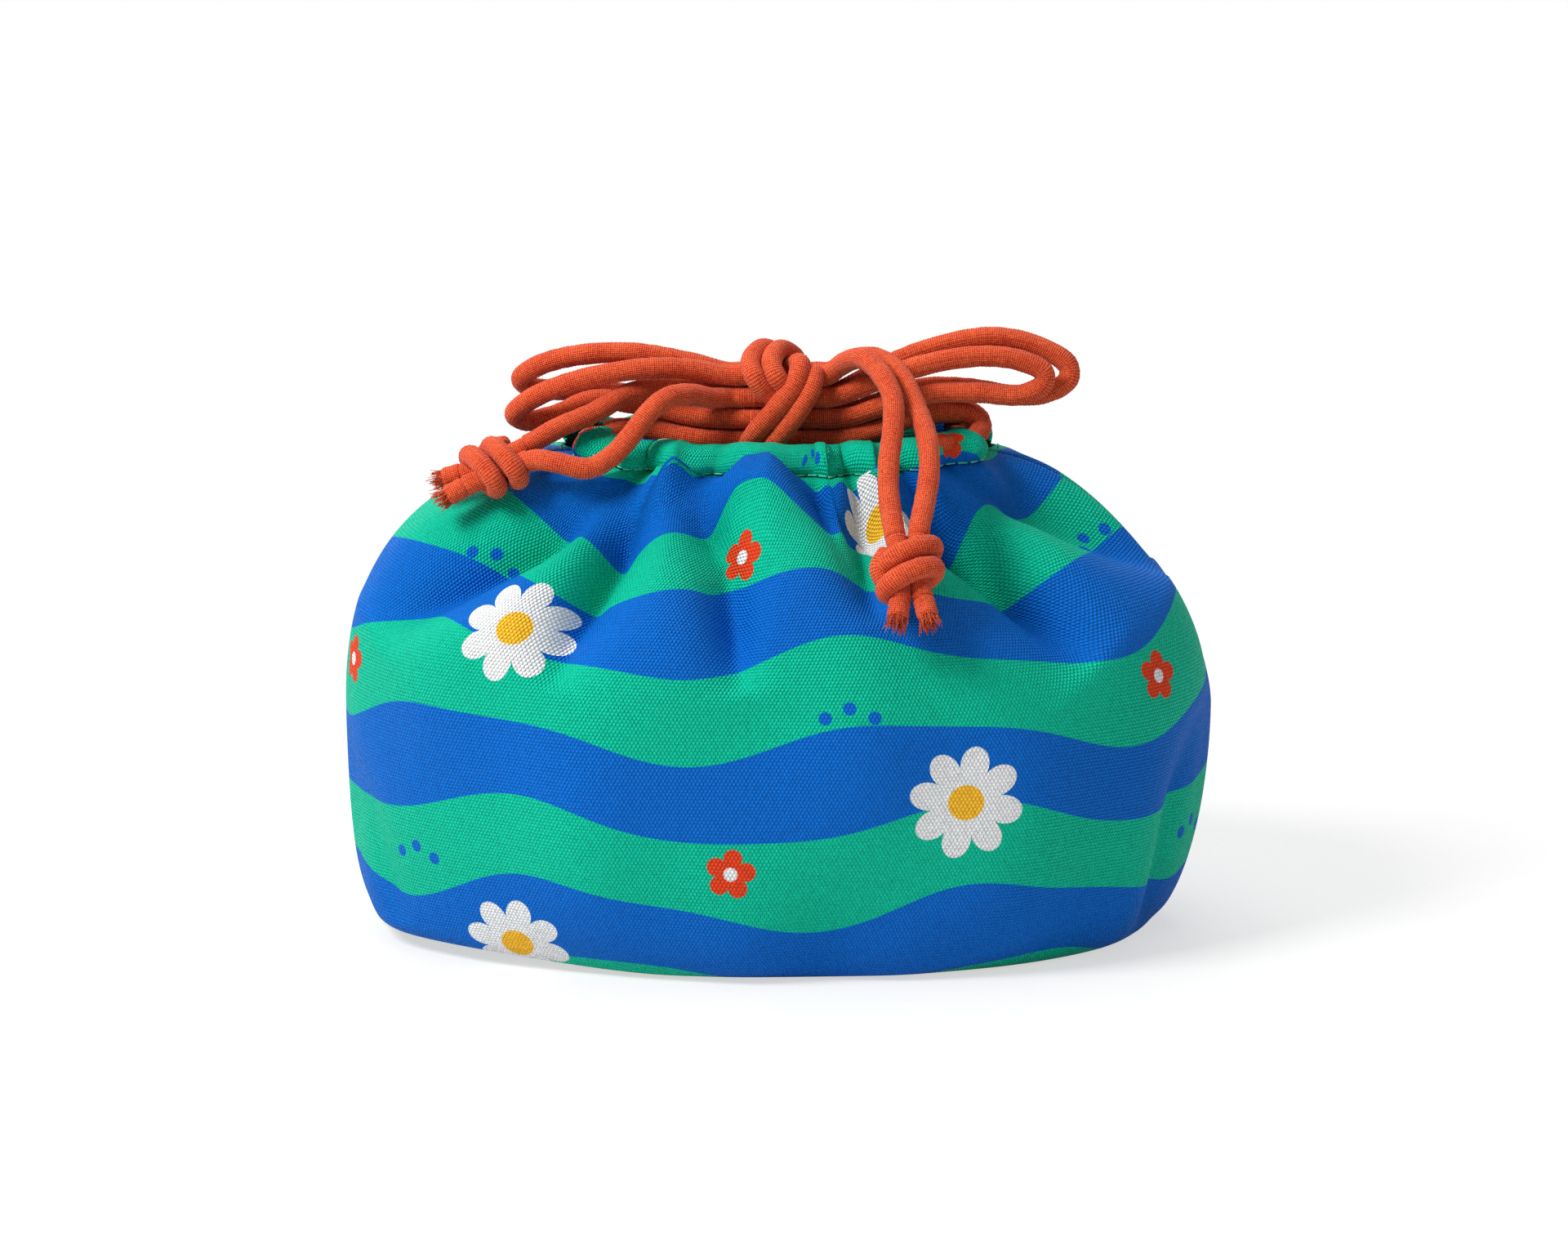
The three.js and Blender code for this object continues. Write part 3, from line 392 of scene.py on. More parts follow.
def add_mesh(name, vertices, faces, uv=None):
    mesh = bpy.data.meshes.new(name)
    mesh.from_pydata((np.asarray(vertices) * MM).tolist(), [], faces)
    if uv is not None:
        layer = mesh.uv_layers.new(name="flat")
        loops = np.empty(len(mesh.loops), dtype=np.int32)
        mesh.loops.foreach_get("vertex_index", loops)
        layer.data.foreach_set("uv", np.asarray(uv, dtype=np.float32)[loops].ravel())
    mesh.polygons.foreach_set("use_smooth", [True] * len(mesh.polygons))
    mesh.update()
    piece = bpy.data.objects.new(name, mesh)
    bpy.context.scene.collection.objects.link(piece)
    return piece


def grid_faces(rows, cols, wrap=False):
    r, c = np.meshgrid(np.arange(rows - 1), np.arange(cols if wrap else cols - 1), indexing="ij")
    d = (c + 1) % cols
    quads = stacked(r * cols + c, r * cols + d, (r + 1) * cols + d, (r + 1) * cols + c)
    return quads.reshape(-1, 4).tolist()


def cloth_piece(name, grid, uv, thickness=CLOTH, offset=-1):
    rows, cols = grid.shape[:2]
    piece = add_mesh(name, grid.reshape(-1, 3), grid_faces(rows, cols), uv.reshape(-1, 2) / CLOTH_UNIT)
    solidify = piece.modifiers.new("thickness", "SOLIDIFY")
    solidify.thickness = thickness * MM
    solidify.offset = offset
    return finish_piece(piece, CANVAS, "bag", name)


def finish_piece(piece, material, body, node):
    piece.data.materials.append(material)
    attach(piece, body)
    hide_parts(node)
    return piece


def joined_piece(name, parts, material, body):
    """One piece from several meshes."""
    faces, start = [], 0
    for vertices, part_faces, _ in parts:
        faces.extend([[i + start for i in face] for face in part_faces])
        start += len(vertices)
    piece = add_mesh(name, np.vstack([p[0] for p in parts]), faces, np.vstack([p[2] for p in parts]))
    return finish_piece(piece, material, body, name)


CORD_SIDES, CORD_STEP = 32, 0.55
BRAID_ROUND, BRAID_PITCH, BRAID_HEIGHT = 8, 2.3, 0.11
# How uneven the cord's thickness is, and the length over which its ends round off
CORD_UNEVEN, CORD_END = 0.05, 1.2
FIBRE_SIDES, FIBRE_TIP = 5, 0.45
CURVE_STEPS = 40


def even_path(points, step=CORD_STEP):
    """A dense line of points cut into even steps."""
    length = distances(points)
    even = np.linspace(0, length[-1], max(4, int(round(length[-1] / step)) + 1))
    return stacked(*(np.interp(even, length, p) for p in points.T))


def smooth_line(points):
    """A dense centripetal curve through the points."""
    p = np.asarray(points, float)
    p = np.vstack([2 * p[0] - p[1], p, 2 * p[-1] - p[-2]])
    fine = []
    for k in range(1, len(p) - 2):
        knots = running(gaps(p[k - 1:k + 3]) ** 0.5)
        t = np.linspace(knots[1], knots[2], CURVE_STEPS, endpoint=False)[:, None]
        a = [lerp(p[k - 1 + i], p[k + i], (t - knots[i]) / (knots[i + 1] - knots[i])) for i in range(3)]
        b = [lerp(a[i], a[i + 1], (t - knots[i]) / (knots[i + 2] - knots[i])) for i in range(2)]
        fine.append(lerp(b[0], b[1], (t - knots[1]) / (knots[2] - knots[1])))
    return np.vstack(fine + [p[-2:-1]])


def curve_path(points, step=CORD_STEP):
    return even_path(smooth_line(points), step)


def tube_frames(path):
    """Two directions across a path that turn with it and never twist."""
    tangent = np.gradient(path, axis=0)
    tangent /= norm(tangent, axis=1)[:, None]
    side = np.empty_like(path)
    first = np.cross(tangent[0], [0.31, 0.12, 0.94])
    side[0] = first / norm(first)
    for k in range(1, len(path)):
        s = side[k - 1] - tangent[k] * np.dot(side[k - 1], tangent[k])
        side[k] = s / norm(s)
    return side, np.cross(tangent, side)


def tube_points(path, theta, radius):
    side, other = tube_frames(path)
    ring = side[:, None] * np.cos(theta)[..., None] + other[:, None] * np.sin(theta)[..., None]
    return path[:, None] + ring * radius[..., None]


def cord_mesh(path, radius=CORD_DIAMETER / 2):
    """Vertices, faces and flat coordinates of a braided cord along an even path."""
    count = len(path)
    theta = circle(CORD_SIDES)
    along = (np.arange(count) * CORD_STEP)[:, None]
    around, twist = BRAID_ROUND * theta, TAU * along / BRAID_PITCH
    weave = np.cos(around + twist) * np.cos(around - twist)
    r = radius + BRAID_HEIGHT * weave + CORD_UNEVEN * np.sin(along * 0.9 + 3 * np.sin(along * 0.23))
    ends = np.minimum(along, along[-1] - along)
    r = r * np.sqrt(np.clip(1 - (1 - np.clip(ends / CORD_END, 0, 1)) ** 2 * 0.75, 0.1, 1))
    points = tube_points(path, theta, r)
    uv = stacked(along / CORD_UNIT, theta / TAU)
    vertices = np.vstack([points.reshape(-1, 3), path[:1], path[-1:]])
    uv = np.vstack([uv.reshape(-1, 2), [[0, 0], [along[-1, 0] / CORD_UNIT, 0]]])
    faces = grid_faces(count, CORD_SIDES, wrap=True)
    base = count * CORD_SIDES
    last = base - CORD_SIDES
    for s in range(CORD_SIDES):
        t = (s + 1) % CORD_SIDES
        faces += [[base, t, s], [base + 1, last + s, last + t]]
    return vertices, faces, uv


def fibre_mesh(path, radius):
    """A thin thread along a path, tapering to its end."""
    count = len(path)
    taper = np.linspace(radius, radius * FIBRE_TIP, count)[:, None]
    theta = circle(FIBRE_SIDES)
    points = tube_points(path, theta, taper)
    last = (count - 1) * FIBRE_SIDES
    caps = [list(range(FIBRE_SIDES))[::-1], list(range(last, last + FIBRE_SIDES))]
    uv = stacked(np.arange(count)[:, None] * 0.05, theta / TAU)
    return points.reshape(-1, 3), grid_faces(count, FIBRE_SIDES, wrap=True) + caps, uv.reshape(-1, 2)


# Materials

def srgb(r, g, b):
    """A colour as read on a screen, 0 to 255, in the scene's own linear values."""
    def linear(c):
        c /= 255
        return c / 12.92 if c <= 0.04045 else ((c + 0.055) / 1.055) ** 2.4
    return (linear(r), linear(g), linear(b), 1)


GREEN, BLUE = srgb(0, 186, 150), srgb(0, 102, 199)
WHITE, RED, YELLOW = srgb(232, 234, 236), srgb(224, 66, 30), srgb(246, 186, 48)
CORD_COLOUR, CORD_DARK = srgb(238, 106, 62), srgb(158, 30, 12)
THREAD_COLOUR, THREAD_DARK = srgb(90, 206, 168), srgb(30, 150, 122)


class Nodes:
    """Short names for the shader nodes of a material or of the world."""

    def __init__(self, owner):
        owner.use_nodes = True
        self.owner, self.tree = owner, owner.node_tree

    def put(self, socket, value):
        if isinstance(value, bpy.types.NodeSocket):
            self.tree.links.new(value, socket)
        else:
            socket.default_value = value

    def node(self, kind, output, inputs, **settings):
        """Adds a node with these settings and inputs, and gives one of its outputs."""
        node = self.tree.nodes.new("ShaderNode" + kind)
        for name, value in settings.items():
            setattr(node, name, value)
        for key, value in inputs.items():
            self.put(node.inputs[key], value)
        return node.outputs[output]

    def math(self, operation, *values):
        return self.node("Math", 0, dict(enumerate(values)), operation=operation)

    def times(self, a, b):
        return self.math("MULTIPLY", a, b)

    def total(self, first, *others):
        for other in others:
            first = self.math("ADD", first, other)
        return first

    def length(self, x, y):
        return self.math("SQRT", self.total(self.times(x, x), self.times(y, y)))

    def either_way(self, share, size):
        """A share of 0 to 1 as a distance to either side, from one end of a size to the other."""
        return self.times(self.math("SUBTRACT", share, 0.5), size)

    def mix(self, share, a, b):
        return self.node("Mix", 2, {"Factor": share, 6: a, 7: b}, data_type="RGBA")

    def ramp(self, value, low, high):
        ends = {"Value": value, "From Min": low, "From Max": high}
        return self.node("MapRange", "Result", ends, interpolation_type="SMOOTHSTEP")

    def place(self):
        return self.node("TexCoord", "Object", {})

    def noise(self, scale, detail=2.0):
        return self.node("TexNoise", "Fac", {"Vector": self.place(), "Scale": scale, "Detail": detail})

    def flat(self):
        return self.node("SeparateXYZ", 0, {0: self.node("UVMap", 0, {}, uv_map="flat")}).node.outputs[:2]

    def bump(self, height, strength, distance):
        return self.node("Bump", 0, {"Height": height, "Strength": strength, "Distance": distance})

    def finish(self, colour, roughness, specular, sheen=0.0, **others):
        values = {"Base Color": colour, "Roughness": roughness, "Specular IOR Level": specular,
                  "Sheen Weight": sheen, "Sheen Roughness": 0.5, **others}
        for name, value in values.items():
            self.put(self.tree.nodes["Principled BSDF"].inputs[name], value)
        return self.owner


# The print, in millimetres of flat cloth: bands, and their waves as (length, turn per millimetre up, height)
BAND, BAND_SHIFT, BAND_EDGE = 22.5, -6.0, 0.18
WAVES = ((122.0, 0.031, 5.5), (61.0, -0.047, 1.3))
# Motifs on a lattice that drops by half a cell from column to column. Flowers as (place, radius, petals,
# depth of the notches, turn, colour, radius and colour of the middle)
CELL, CELL_DROP = (122.0, 90.0), 0.5
FLOWERS = (
    ((36.0, 22.0), 15.0, 8, 0.42, 0.2, WHITE, 4.9, YELLOW),
    ((97.0, 40.0), 6.6, 5, 0.45, 1.1, RED, 2.0, WHITE),
)
PETAL_ROUND, PETAL_EDGE, MIDDLE_EDGE = 0.6, 0.2, 0.4
DOTS_AT, DOT_STEP, DOT_DROP, DOT_RADIUS, DOT_EDGE = (66.0, -4.0), 6.4, 0.4, 1.9, 0.3
# Weave: repeats across and up, and how much weave, yarn and cloudy patches change the colour; the weave's
# part is painted highlight on the crests of the weave and painted shade in its dips, while yarn and patches
# are tone that differs at random
WARP_PITCH, WEFT_PITCH = 1.04, 1.83
WEAVE_SHADE_SHARE, YARN_SHARE, CLOUD_SHARE, SHADE_AND_TONE_GAIN = 0.2, 0.3, 0.10, 1.5
# Cord: how much strands, fuzz and tone change its colour between dark and light, and its middle; the strands'
# part is painted shade in the grooves of the braid and painted highlight on its crests, while fuzz and tone
# differ at random
STRAND_SHADE_SHARE, FUZZ_SHARE, TONE_SHARE, CORD_MIDDLE = 0.42, 0.9, 0.35, 0.54


def cell_place(n, u, v, shift_u, shift_v):
    """Distance across and up from the middle of the lattice cell that a point lies in."""
    across = n.math("DIVIDE", n.total(u, shift_u), CELL[0])
    odd = n.math("MODULO", n.math("ABSOLUTE", n.math("FLOOR", across)), 2.0)
    up = n.math("DIVIDE", n.total(v, n.times(odd, CELL_DROP * CELL[1]), shift_v), CELL[1])
    return [n.either_way(n.math("FRACT", t), size) for t, size in zip((across, up), CELL)]


def petal_shape(n, x, y, radius, petals, notch, turn):
    """How far a point lies outside a flower's outline and from its middle, in millimetres."""
    angle = n.total(n.math("ARCTAN2", y, x), turn)
    lobe = n.math("ABSOLUTE", n.math("COSINE", n.times(angle, petals / 2)))
    edge = n.times(n.total(n.times(n.math("POWER", lobe, PETAL_ROUND), notch), 1 - notch), radius)
    r = n.length(x, y)
    return n.math("SUBTRACT", r, edge), r


def canvas_material():
    n = Nodes(bpy.data.materials.new("printed_canvas"))
    u, v = (n.times(t, CLOTH_UNIT) for t in n.flat())
    high = v
    for length, slant, height in WAVES:
        turn = n.total(n.times(u, TAU / length), n.times(v, slant))
        high = n.total(high, n.times(n.math("SINE", turn), height))
    beat = n.math("PINGPONG", n.total(high, 1000 * BAND + BAND_SHIFT), BAND)
    band = n.ramp(beat, BAND / 2 - BAND_EDGE, BAND / 2 + BAND_EDGE)
    colour = n.mix(band, GREEN, BLUE)
    for at, radius, petals, notch, turn, petal_colour, middle, middle_colour in FLOWERS:
        outside, r = petal_shape(n, *cell_place(n, u, v, *at), radius, petals, notch, turn)
        colour = n.mix(n.ramp(outside, PETAL_EDGE, -PETAL_EDGE), colour, petal_colour)
        colour = n.mix(n.ramp(r, middle, middle - MIDDLE_EDGE), colour, middle_colour)
    for step in (-DOT_STEP, 0.0, DOT_STEP):
        x, y = cell_place(n, u, v, DOTS_AT[0] + step, DOTS_AT[1] + DOT_DROP * abs(step))
        dot = n.ramp(n.length(x, y), DOT_RADIUS, DOT_RADIUS - DOT_EDGE)
        colour = n.mix(dot, colour, n.mix(band, BLUE, GREEN))
    warp = n.math("SINE", n.times(u, TAU / WARP_PITCH))
    weft = n.math("SINE", n.times(v, TAU / WEFT_PITCH))
    picks = n.math("COSINE", n.times(v, 4 * math.pi / WEFT_PITCH))
    weave = n.math("SUBTRACT", n.times(warp, weft), n.times(picks, 0.5))
    yarn, cloud = n.noise(900.0), n.noise(26.0)
    # painted highlight and shade: the colour is lighter on the crests of the weave and darker in its dips,
    # following the same pattern as its bump, plus random yarn and patch tone
    light = n.total(n.times(weave, WEAVE_SHADE_SHARE), n.either_way(yarn, YARN_SHARE),
                    n.either_way(cloud, CLOUD_SHARE))
    shade = n.total(n.times(light, SHADE_AND_TONE_GAIN), 1.0)
    colour = n.node("VectorMath", 0, {0: colour, "Scale": shade}, operation="SCALE")
    rough = n.total(n.times(cloud, 0.12), 0.58)
    return n.finish(colour, rough, 0.1, Normal=n.bump(n.total(weave, n.times(yarn, 0.7)), 0.8, 0.0004))


def cord_material():
    n = Nodes(bpy.data.materials.new("braided_cotton"))
    along, around = n.flat()
    s = n.times(along, TAU * CORD_UNIT / (BRAID_PITCH / 2))
    t = n.times(around, TAU * BRAID_ROUND * 2)
    strands = n.times(n.math("SINE", n.total(s, t)), n.math("SINE", n.math("SUBTRACT", s, t)))
    fuzz, tone = n.noise(1500.0, 3.0), n.noise(140.0)
    # painted shade: the cord's colour is darker in the grooves of the braid and lighter on its crests,
    # following the same strands pattern as its bump, plus random fuzz and tone
    share = n.total(n.times(strands, STRAND_SHADE_SHARE), n.either_way(fuzz, FUZZ_SHARE),
                    n.either_way(tone, TONE_SHARE), CORD_MIDDLE)
    colour = n.mix(n.ramp(share, 0.1, 1.0), CORD_DARK, CORD_COLOUR)
    return n.finish(colour, 0.86, 0.08, 0.1, Normal=n.bump(n.total(strands, fuzz), 0.5, 0.0003))


def thread_material():
    n = Nodes(bpy.data.materials.new("sewing_thread"))
    tone = n.noise(1200.0)
    colour = n.mix(tone, THREAD_DARK, THREAD_COLOUR)
    return n.finish(colour, 0.55, 0.35, 0.1, Normal=n.bump(tone, 0.3, 0.0001))


CANVAS = canvas_material()
CORD = cord_material()
THREAD = thread_material()


# Cords: routes in millimetres, the same points as the frame's. Strands leave the edge of the bow in two
# columns and four rows
EDGE = 9.7
FRONT, BACK = -4.9, 0.9
ROW_1, ROW_2, ROW_3, ROW_4 = 132.3, 138.1, 143.9, 149.7
TUNNEL_HEIGHT, LANE = 133.25, 2.9
SLIT_HALF = 11.5
LEAD_ANGLE = 0.78 * math.asin((SLIT_HALF / CASING_DEPTH) ** (NECK_ROUND / 2))
# How far a strand runs on under the wraps of the bow, and the stretch in which it starts to follow its body
UNDER_BOW, BLEND_LENGTH = 4.5, 9.0
# Inside the casing the cords are thinner than the frame's and nearer its middle, except close to the slits
CORD_IN_TUNNEL, TUNNEL_POINTS, SLIT_POINTS = 2.6, 400, 60

LOOPS = {
    "left_loop_strand_1": [
        (-EDGE, BACK, ROW_4), (-14, BACK, ROW_4), (-24, 0, 152.4), (-39.6, 0, 155), (-55, 1.4, 154),
        (-65, 4, 150.8), (-69.5, 7, 147), (-67, 9.6, 144.2), (-60, 10.4, 143.4), (-48, 9.4, 143.2),
        (-35, 6, 142.2), (-22, 2.4, 139.6), (-14, BACK, ROW_2), (-EDGE, BACK, ROW_2)],
    "left_loop_strand_2": [
        (-EDGE, FRONT, ROW_4), (-14, FRONT, ROW_4), (-24, -6.6, 151.6), (-34, -8.6, 152.2),
        (-46, -9.6, 150.8), (-58, -9.4, 147.6), (-67, -8, 143.2), (-70.6, -5.6, 139.4), (-67.5, -2.8, 137.2),
        (-60, -1.2, 138.4), (-50, 0.6, 142.2), (-38, -0.2, 141.2), (-22, -4.4, 138.6), (-14, FRONT, ROW_2),
        (-EDGE, FRONT, ROW_2)],
    "right_loop_strand_1": [
        (EDGE, BACK, ROW_3), (14, BACK, ROW_3), (22, 0.8, 147.6), (31, 0.4, 152.6), (43.6, -0.4, 157.2),
        (57, -1.4, 159.4), (69, -2.6, 157), (76.6, -3.6, 152.2), (76.6, -4.2, 148.4), (71, -4.2, 145),
        (62, -3.6, 144.2), (50, -2.4, 145.8), (38, -1, 145.6), (26, 0.2, 141.4), (19, 0.8, 138.8),
        (14, BACK, ROW_2), (EDGE, BACK, ROW_2)],
    "right_loop_strand_2": [
        (EDGE, FRONT, ROW_3), (14, FRONT, ROW_3), (24, -6, 147.8), (35, -8, 152), (46, -9.4, 154.8),
        (56, -10.2, 155.6), (64, -10.6, 154.4), (69.8, -10.8, 151.4), (69.6, -10.8, 148.2),
        (64, -10.4, 145.4), (52, -9.4, 145.8), (38, -7.6, 145), (26, -5.8, 141.2), (19, -5, 138.8),
        (14, FRONT, ROW_2), (EDGE, FRONT, ROW_2)],
}
TAILS = {
    "left_tail_strand_1": [
        (-EDGE, BACK, ROW_3), (-14, BACK, ROW_3), (-22, 0, 145.2), (-31, -2.6, 146), (-40, -8, 145.4),
        (-49, -14, 141.2), (-58, -18.6, 138), (-64.3, -21.5, 134.9), (-67.3, -22.3, 133.5)],
    "left_tail_strand_2": [
        (-EDGE, FRONT, ROW_3), (-13, FRONT, ROW_3), (-18, -8.6, 144.2), (-24, -14.4, 146.2),
        (-29.6, -19.4, 146), (-34.6, -23.4, 142.4), (-39, -26.4, 137), (-44, -29, 132), (-50, -31, 129.2),
        (-58, -31, 130.7), (-63.6, -29.4, 131.2), (-66.6, -28.5, 130.1)],
    "right_tail_strand_1": [
        (EDGE, FRONT, ROW_4), (12.5, FRONT, ROW_4), (17, -8.4, 153.6), (22, -16.4, 155.8), (26.5, -23, 152.8),
        (29.4, -29.4, 147.4), (29.4, -35.6, 140.6), (28.2, -42.4, 133.4), (28, -49, 126), (29, -56, 119),
        (29.7, -58.8, 115.6)],
    "right_tail_strand_2": [
        (EDGE, BACK, ROW_4), (13, BACK, ROW_4), (19.4, -2.6, 153.6), (25.8, -9.8, 155), (31.6, -18, 151.8),
        (35.8, -27, 144.2), (38.2, -35.6, 138), (38.6, -44, 130.8), (37.2, -51, 123.6), (35.8, -56.4, 118.4),
        (35.5, -58.8, 115.6)],
}


def lead_point(exit_angle, side, lane, distance):
    """A point of a cord a distance on from where it leaves the casing."""
    end = mouth_points(exit_angle + side * LEAD_ANGLE, lane, TUNNEL_HEIGHT)
    on = mouth_points(exit_angle + side * LEAD_ANGLE * 0.95, lane, TUNNEL_HEIGHT) - end
    return end + on / norm(on) * distance


def lead_routes():
    routes = {}
    for number, side, column in ((1, -1, FRONT), (2, 1, BACK)):
        routes[f"left_lead_{number}"] = [
            lead_point(math.pi, -side, -LANE, 0.9), lead_point(math.pi, -side, -LANE, 2),
            (-43.75, side * 3.1, 134.05), (-34, side * 3.1 - 0.5, 134.4), (-24, side * 3 - 1.4, 133),
            (-14, column, ROW_1), (-EDGE, column, ROW_1)]
        routes[f"right_lead_{number}"] = [
            lead_point(0, side, LANE, 0.9), lead_point(0, side, LANE, 1.5), (53.75, side * 3.6, 136.25),
            (50.55, side * 3.1, 138.85), (46.55, side * 3.1, 139.45), (36, side * 3.1 - 0.4, 138.4),
            (25, side * 3 - 1.2, 134.6), (14, column, ROW_1), (EDGE, column, ROW_1)]
    return routes


def into_bow(end):
    """A point under the wraps of the bow, where a strand at its edge comes from."""
    return end - np.array([np.sign(end[0]) * UNDER_BOW, 0, 0])


def cord_piece(name, route, body):
    """A strand on its route; an end at the edge of the bow runs on under its wraps."""
    points = [np.asarray(p, float) for p in route]
    if abs(points[0][0]) == EDGE:
        points.insert(0, into_bow(points[0]))
    if abs(points[-1][0]) == EDGE:
        points.append(into_bow(points[-1]))
    line = smooth_line(points)
    path = even_path(line)
    piece = add_mesh(name, *cord_mesh(path))
    piece.data.materials.append(CORD)
    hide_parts(name)
    if body == "bag":
        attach(piece, body)
    else:
        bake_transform(piece)
    distances(line)[-1] * MM
    return piece


# Bow knot: two turns in front, two over the crown that go under them, and the strands inside
BOW_TURNS = (
    [(2.5, -3, 151), (5.2, -7.2, 153.2), (4.2, -11.4, 149), (-1.4, -13, 141.6), (-6.6, -12, 135.2),
     (-8.6, -7.6, 130.6), (-7.4, -1.6, 129.2), (-4.2, 5.2, 132.4), (0.5, 7.2, 140.4), (4.6, 6, 148),
     (5.4, 1.4, 151.6), (3.4, -2, 149.6)],
    [(6.4, -3, 148), (8.8, -7, 150.4), (8.2, -11.2, 147), (3.2, -13, 139), (-2.2, -12, 131.8),
     (-4.4, -7.4, 127.6), (-3, -1.6, 126.6), (0.4, 5, 129.8), (5, 7.2, 137.6), (8.6, 6, 144.6),
     (9.2, 1.4, 148.4), (7.2, -2, 146.6)],
    [(1.6, 5.6, 150), (-1.6, 3, 154.6), (-5, -2.6, 156.4), (-7.7, -8, 153.6), (-6.4, -11.4, 149.8),
     (-3, -10.4, 145.6), (1.4, -8, 142.4), (5, -6, 139.6)],
    [(6, 5.4, 149.4), (3.2, 2.6, 154), (-0.2, -3, 156.2), (-2.2, -8.6, 153.8), (-1, -11.4, 150.2),
     (2, -9.8, 146.8), (6, -7, 144)],
)


def bow_knot():
    parts = [cord_mesh(curve_path(points)) for points in BOW_TURNS]
    for column in (FRONT, BACK):
        for row in (ROW_1, ROW_2, ROW_3, ROW_4):
            wave = [(x, column + 0.4 * math.sin(x + row), row) for x in (-8.6, -3, 3, 8.6)]
            parts.append(cord_mesh(curve_path(wave)))
    return joined_piece("bow_knot", parts, CORD, "bag")


def tail_end(first, second):
    """Place, direction and two cross directions at the lower end of a tail's two strands."""
    a, b = np.asarray(first, float), np.asarray(second, float)
    entry = (a[-1] + b[-1]) / 2
    heading = entry - (a[-2] + b[-2]) / 2
    heading /= norm(heading)
    across = a[-1] - b[-1]
    across -= heading * across.dot(heading)
    across /= norm(across)
    return entry, heading, across, np.cross(heading, across)


# Stopper knot: where its middle is, half width and depth; then where its two turns lie, their slope, and
# how far they go on past a full turn
STOPPER_REACH, STOPPER_WIDTH, STOPPER_DEPTH = 8.7, 6.4, 4.6
TURN_AT, TURN_SLOPE, TURN_PAST, TURN_POINTS = 3.1, 0.42, 0.5, 90
# Cord tips: where they start past that middle, length, spread, radius and number of fibres
TIP_START, TIP_LENGTH, TIP_SPREAD, TIP_RADIUS, FIBRES = 8.3, 9.0, 1.6, 2.5, 90


def stopper_knot(side, entry, heading, across, out):
    """Two turns of cord round a tail's strands, the strands inside, and a short bend beside them."""
    middle = entry + heading * STOPPER_REACH
    if out[1] > 0:
        out = -out
    t = np.linspace(-TURN_PAST, TAU + TURN_PAST, TURN_POINTS)
    dive = 1 - 0.5 * np.maximum(0, np.abs(t - np.pi) - np.pi) / TURN_PAST
    wide, deep = STOPPER_WIDTH * np.cos(t - np.pi / 2), -STOPPER_DEPTH * np.sin(t - np.pi / 2)
    parts = []
    for offset in (-TURN_AT, TURN_AT):
        ring = middle + np.outer(wide * dive, across) - np.outer(deep * dive, out)
        parts.append(cord_mesh(even_path(ring + np.outer(offset + TURN_SLOPE * wide, heading))))

    def run(*places):
        points = [middle + heading * a + across * b + out * c for a, b, c in places]
        parts.append(cord_mesh(curve_path(points)))

    for lane in (-LANE, LANE):
        run((-STOPPER_REACH - 1.5, lane, 0), (-4, lane * 0.8, 0), (0, lane * 0.6, 0), (4, lane * 0.8, 0),
            (TIP_START + 1.0, lane, 0))
    run((-5, 4.6, 1.4), (-0.5, 7.4, 0.4), (5, 5.2, -1.2))
    return joined_piece(f"{side}_stopper_knot", parts, CORD, f"{side}_tail")


def cord_tip(side, number, lane, entry, heading, across, out):
    """The cut end of a strand: the braid opens into loose fibres."""
    start = entry + heading * (STOPPER_REACH + TIP_START) + across * LANE * lane
    lean = heading * TIP_LENGTH + across * TIP_SPREAD * lane
    lean = lean / norm(lean)
    s = np.cross(lean, out)
    s /= norm(s)
    o = np.cross(lean, s)
    parts = [cord_mesh(curve_path([start + lean * t for t in (0, 2, 4, TIP_LENGTH - 3.0)]))]
    for _ in range(FIBRES):
        turn = rng.uniform(0, TAU)
        r = TIP_RADIUS * math.sqrt(rng.uniform(0.02, 1))
        way = s * math.cos(turn) + o * math.sin(turn)
        root = start + lean * (TIP_LENGTH - 4.4 + rng.uniform(0, 0.8)) + way * r
        reach = rng.uniform(2.2, 4.6)
        flare = rng.uniform(-0.1, 0.34) * reach
        curl = (s * rng.normal() + o * rng.normal()) * 0.22
        halfway = root + lean * reach * 0.5 + way * flare * 0.3 + curl
        path = curve_path([root, halfway, root + lean * reach + way * flare + curl * 0.5], 0.7)
        parts.append(fibre_mesh(path, rng.uniform(0.11, 0.22)))
    return joined_piece(f"{side}_cord_tip_{number}", parts, CORD, f"{side}_tail")


def cord_in_casing(side, exit_angle, lane):
    """The hidden run of a cord, from slit to slit round the mouth."""
    angles = exit_angle + np.linspace(LEAD_ANGLE, TAU - LEAD_ANGLE, TUNNEL_POINTS)
    steps = np.arange(TUNNEL_POINTS)
    inside = np.clip(np.minimum(steps, steps[::-1]) / SLIT_POINTS, 0, 1)
    path = even_path(mouth_points(angles, lane * (1 - 0.5 * inside), TUNNEL_HEIGHT))
    squeeze = np.interp(np.linspace(0, 1, len(path)), np.linspace(0, 1, TUNNEL_POINTS), smooth(inside))
    radius = lerp(CORD_DIAMETER, CORD_IN_TUNNEL, squeeze) / 2
    joined_piece(f"{side}_cord_in_casing", [cord_mesh(path, radius[:, None])], CORD, "bag")


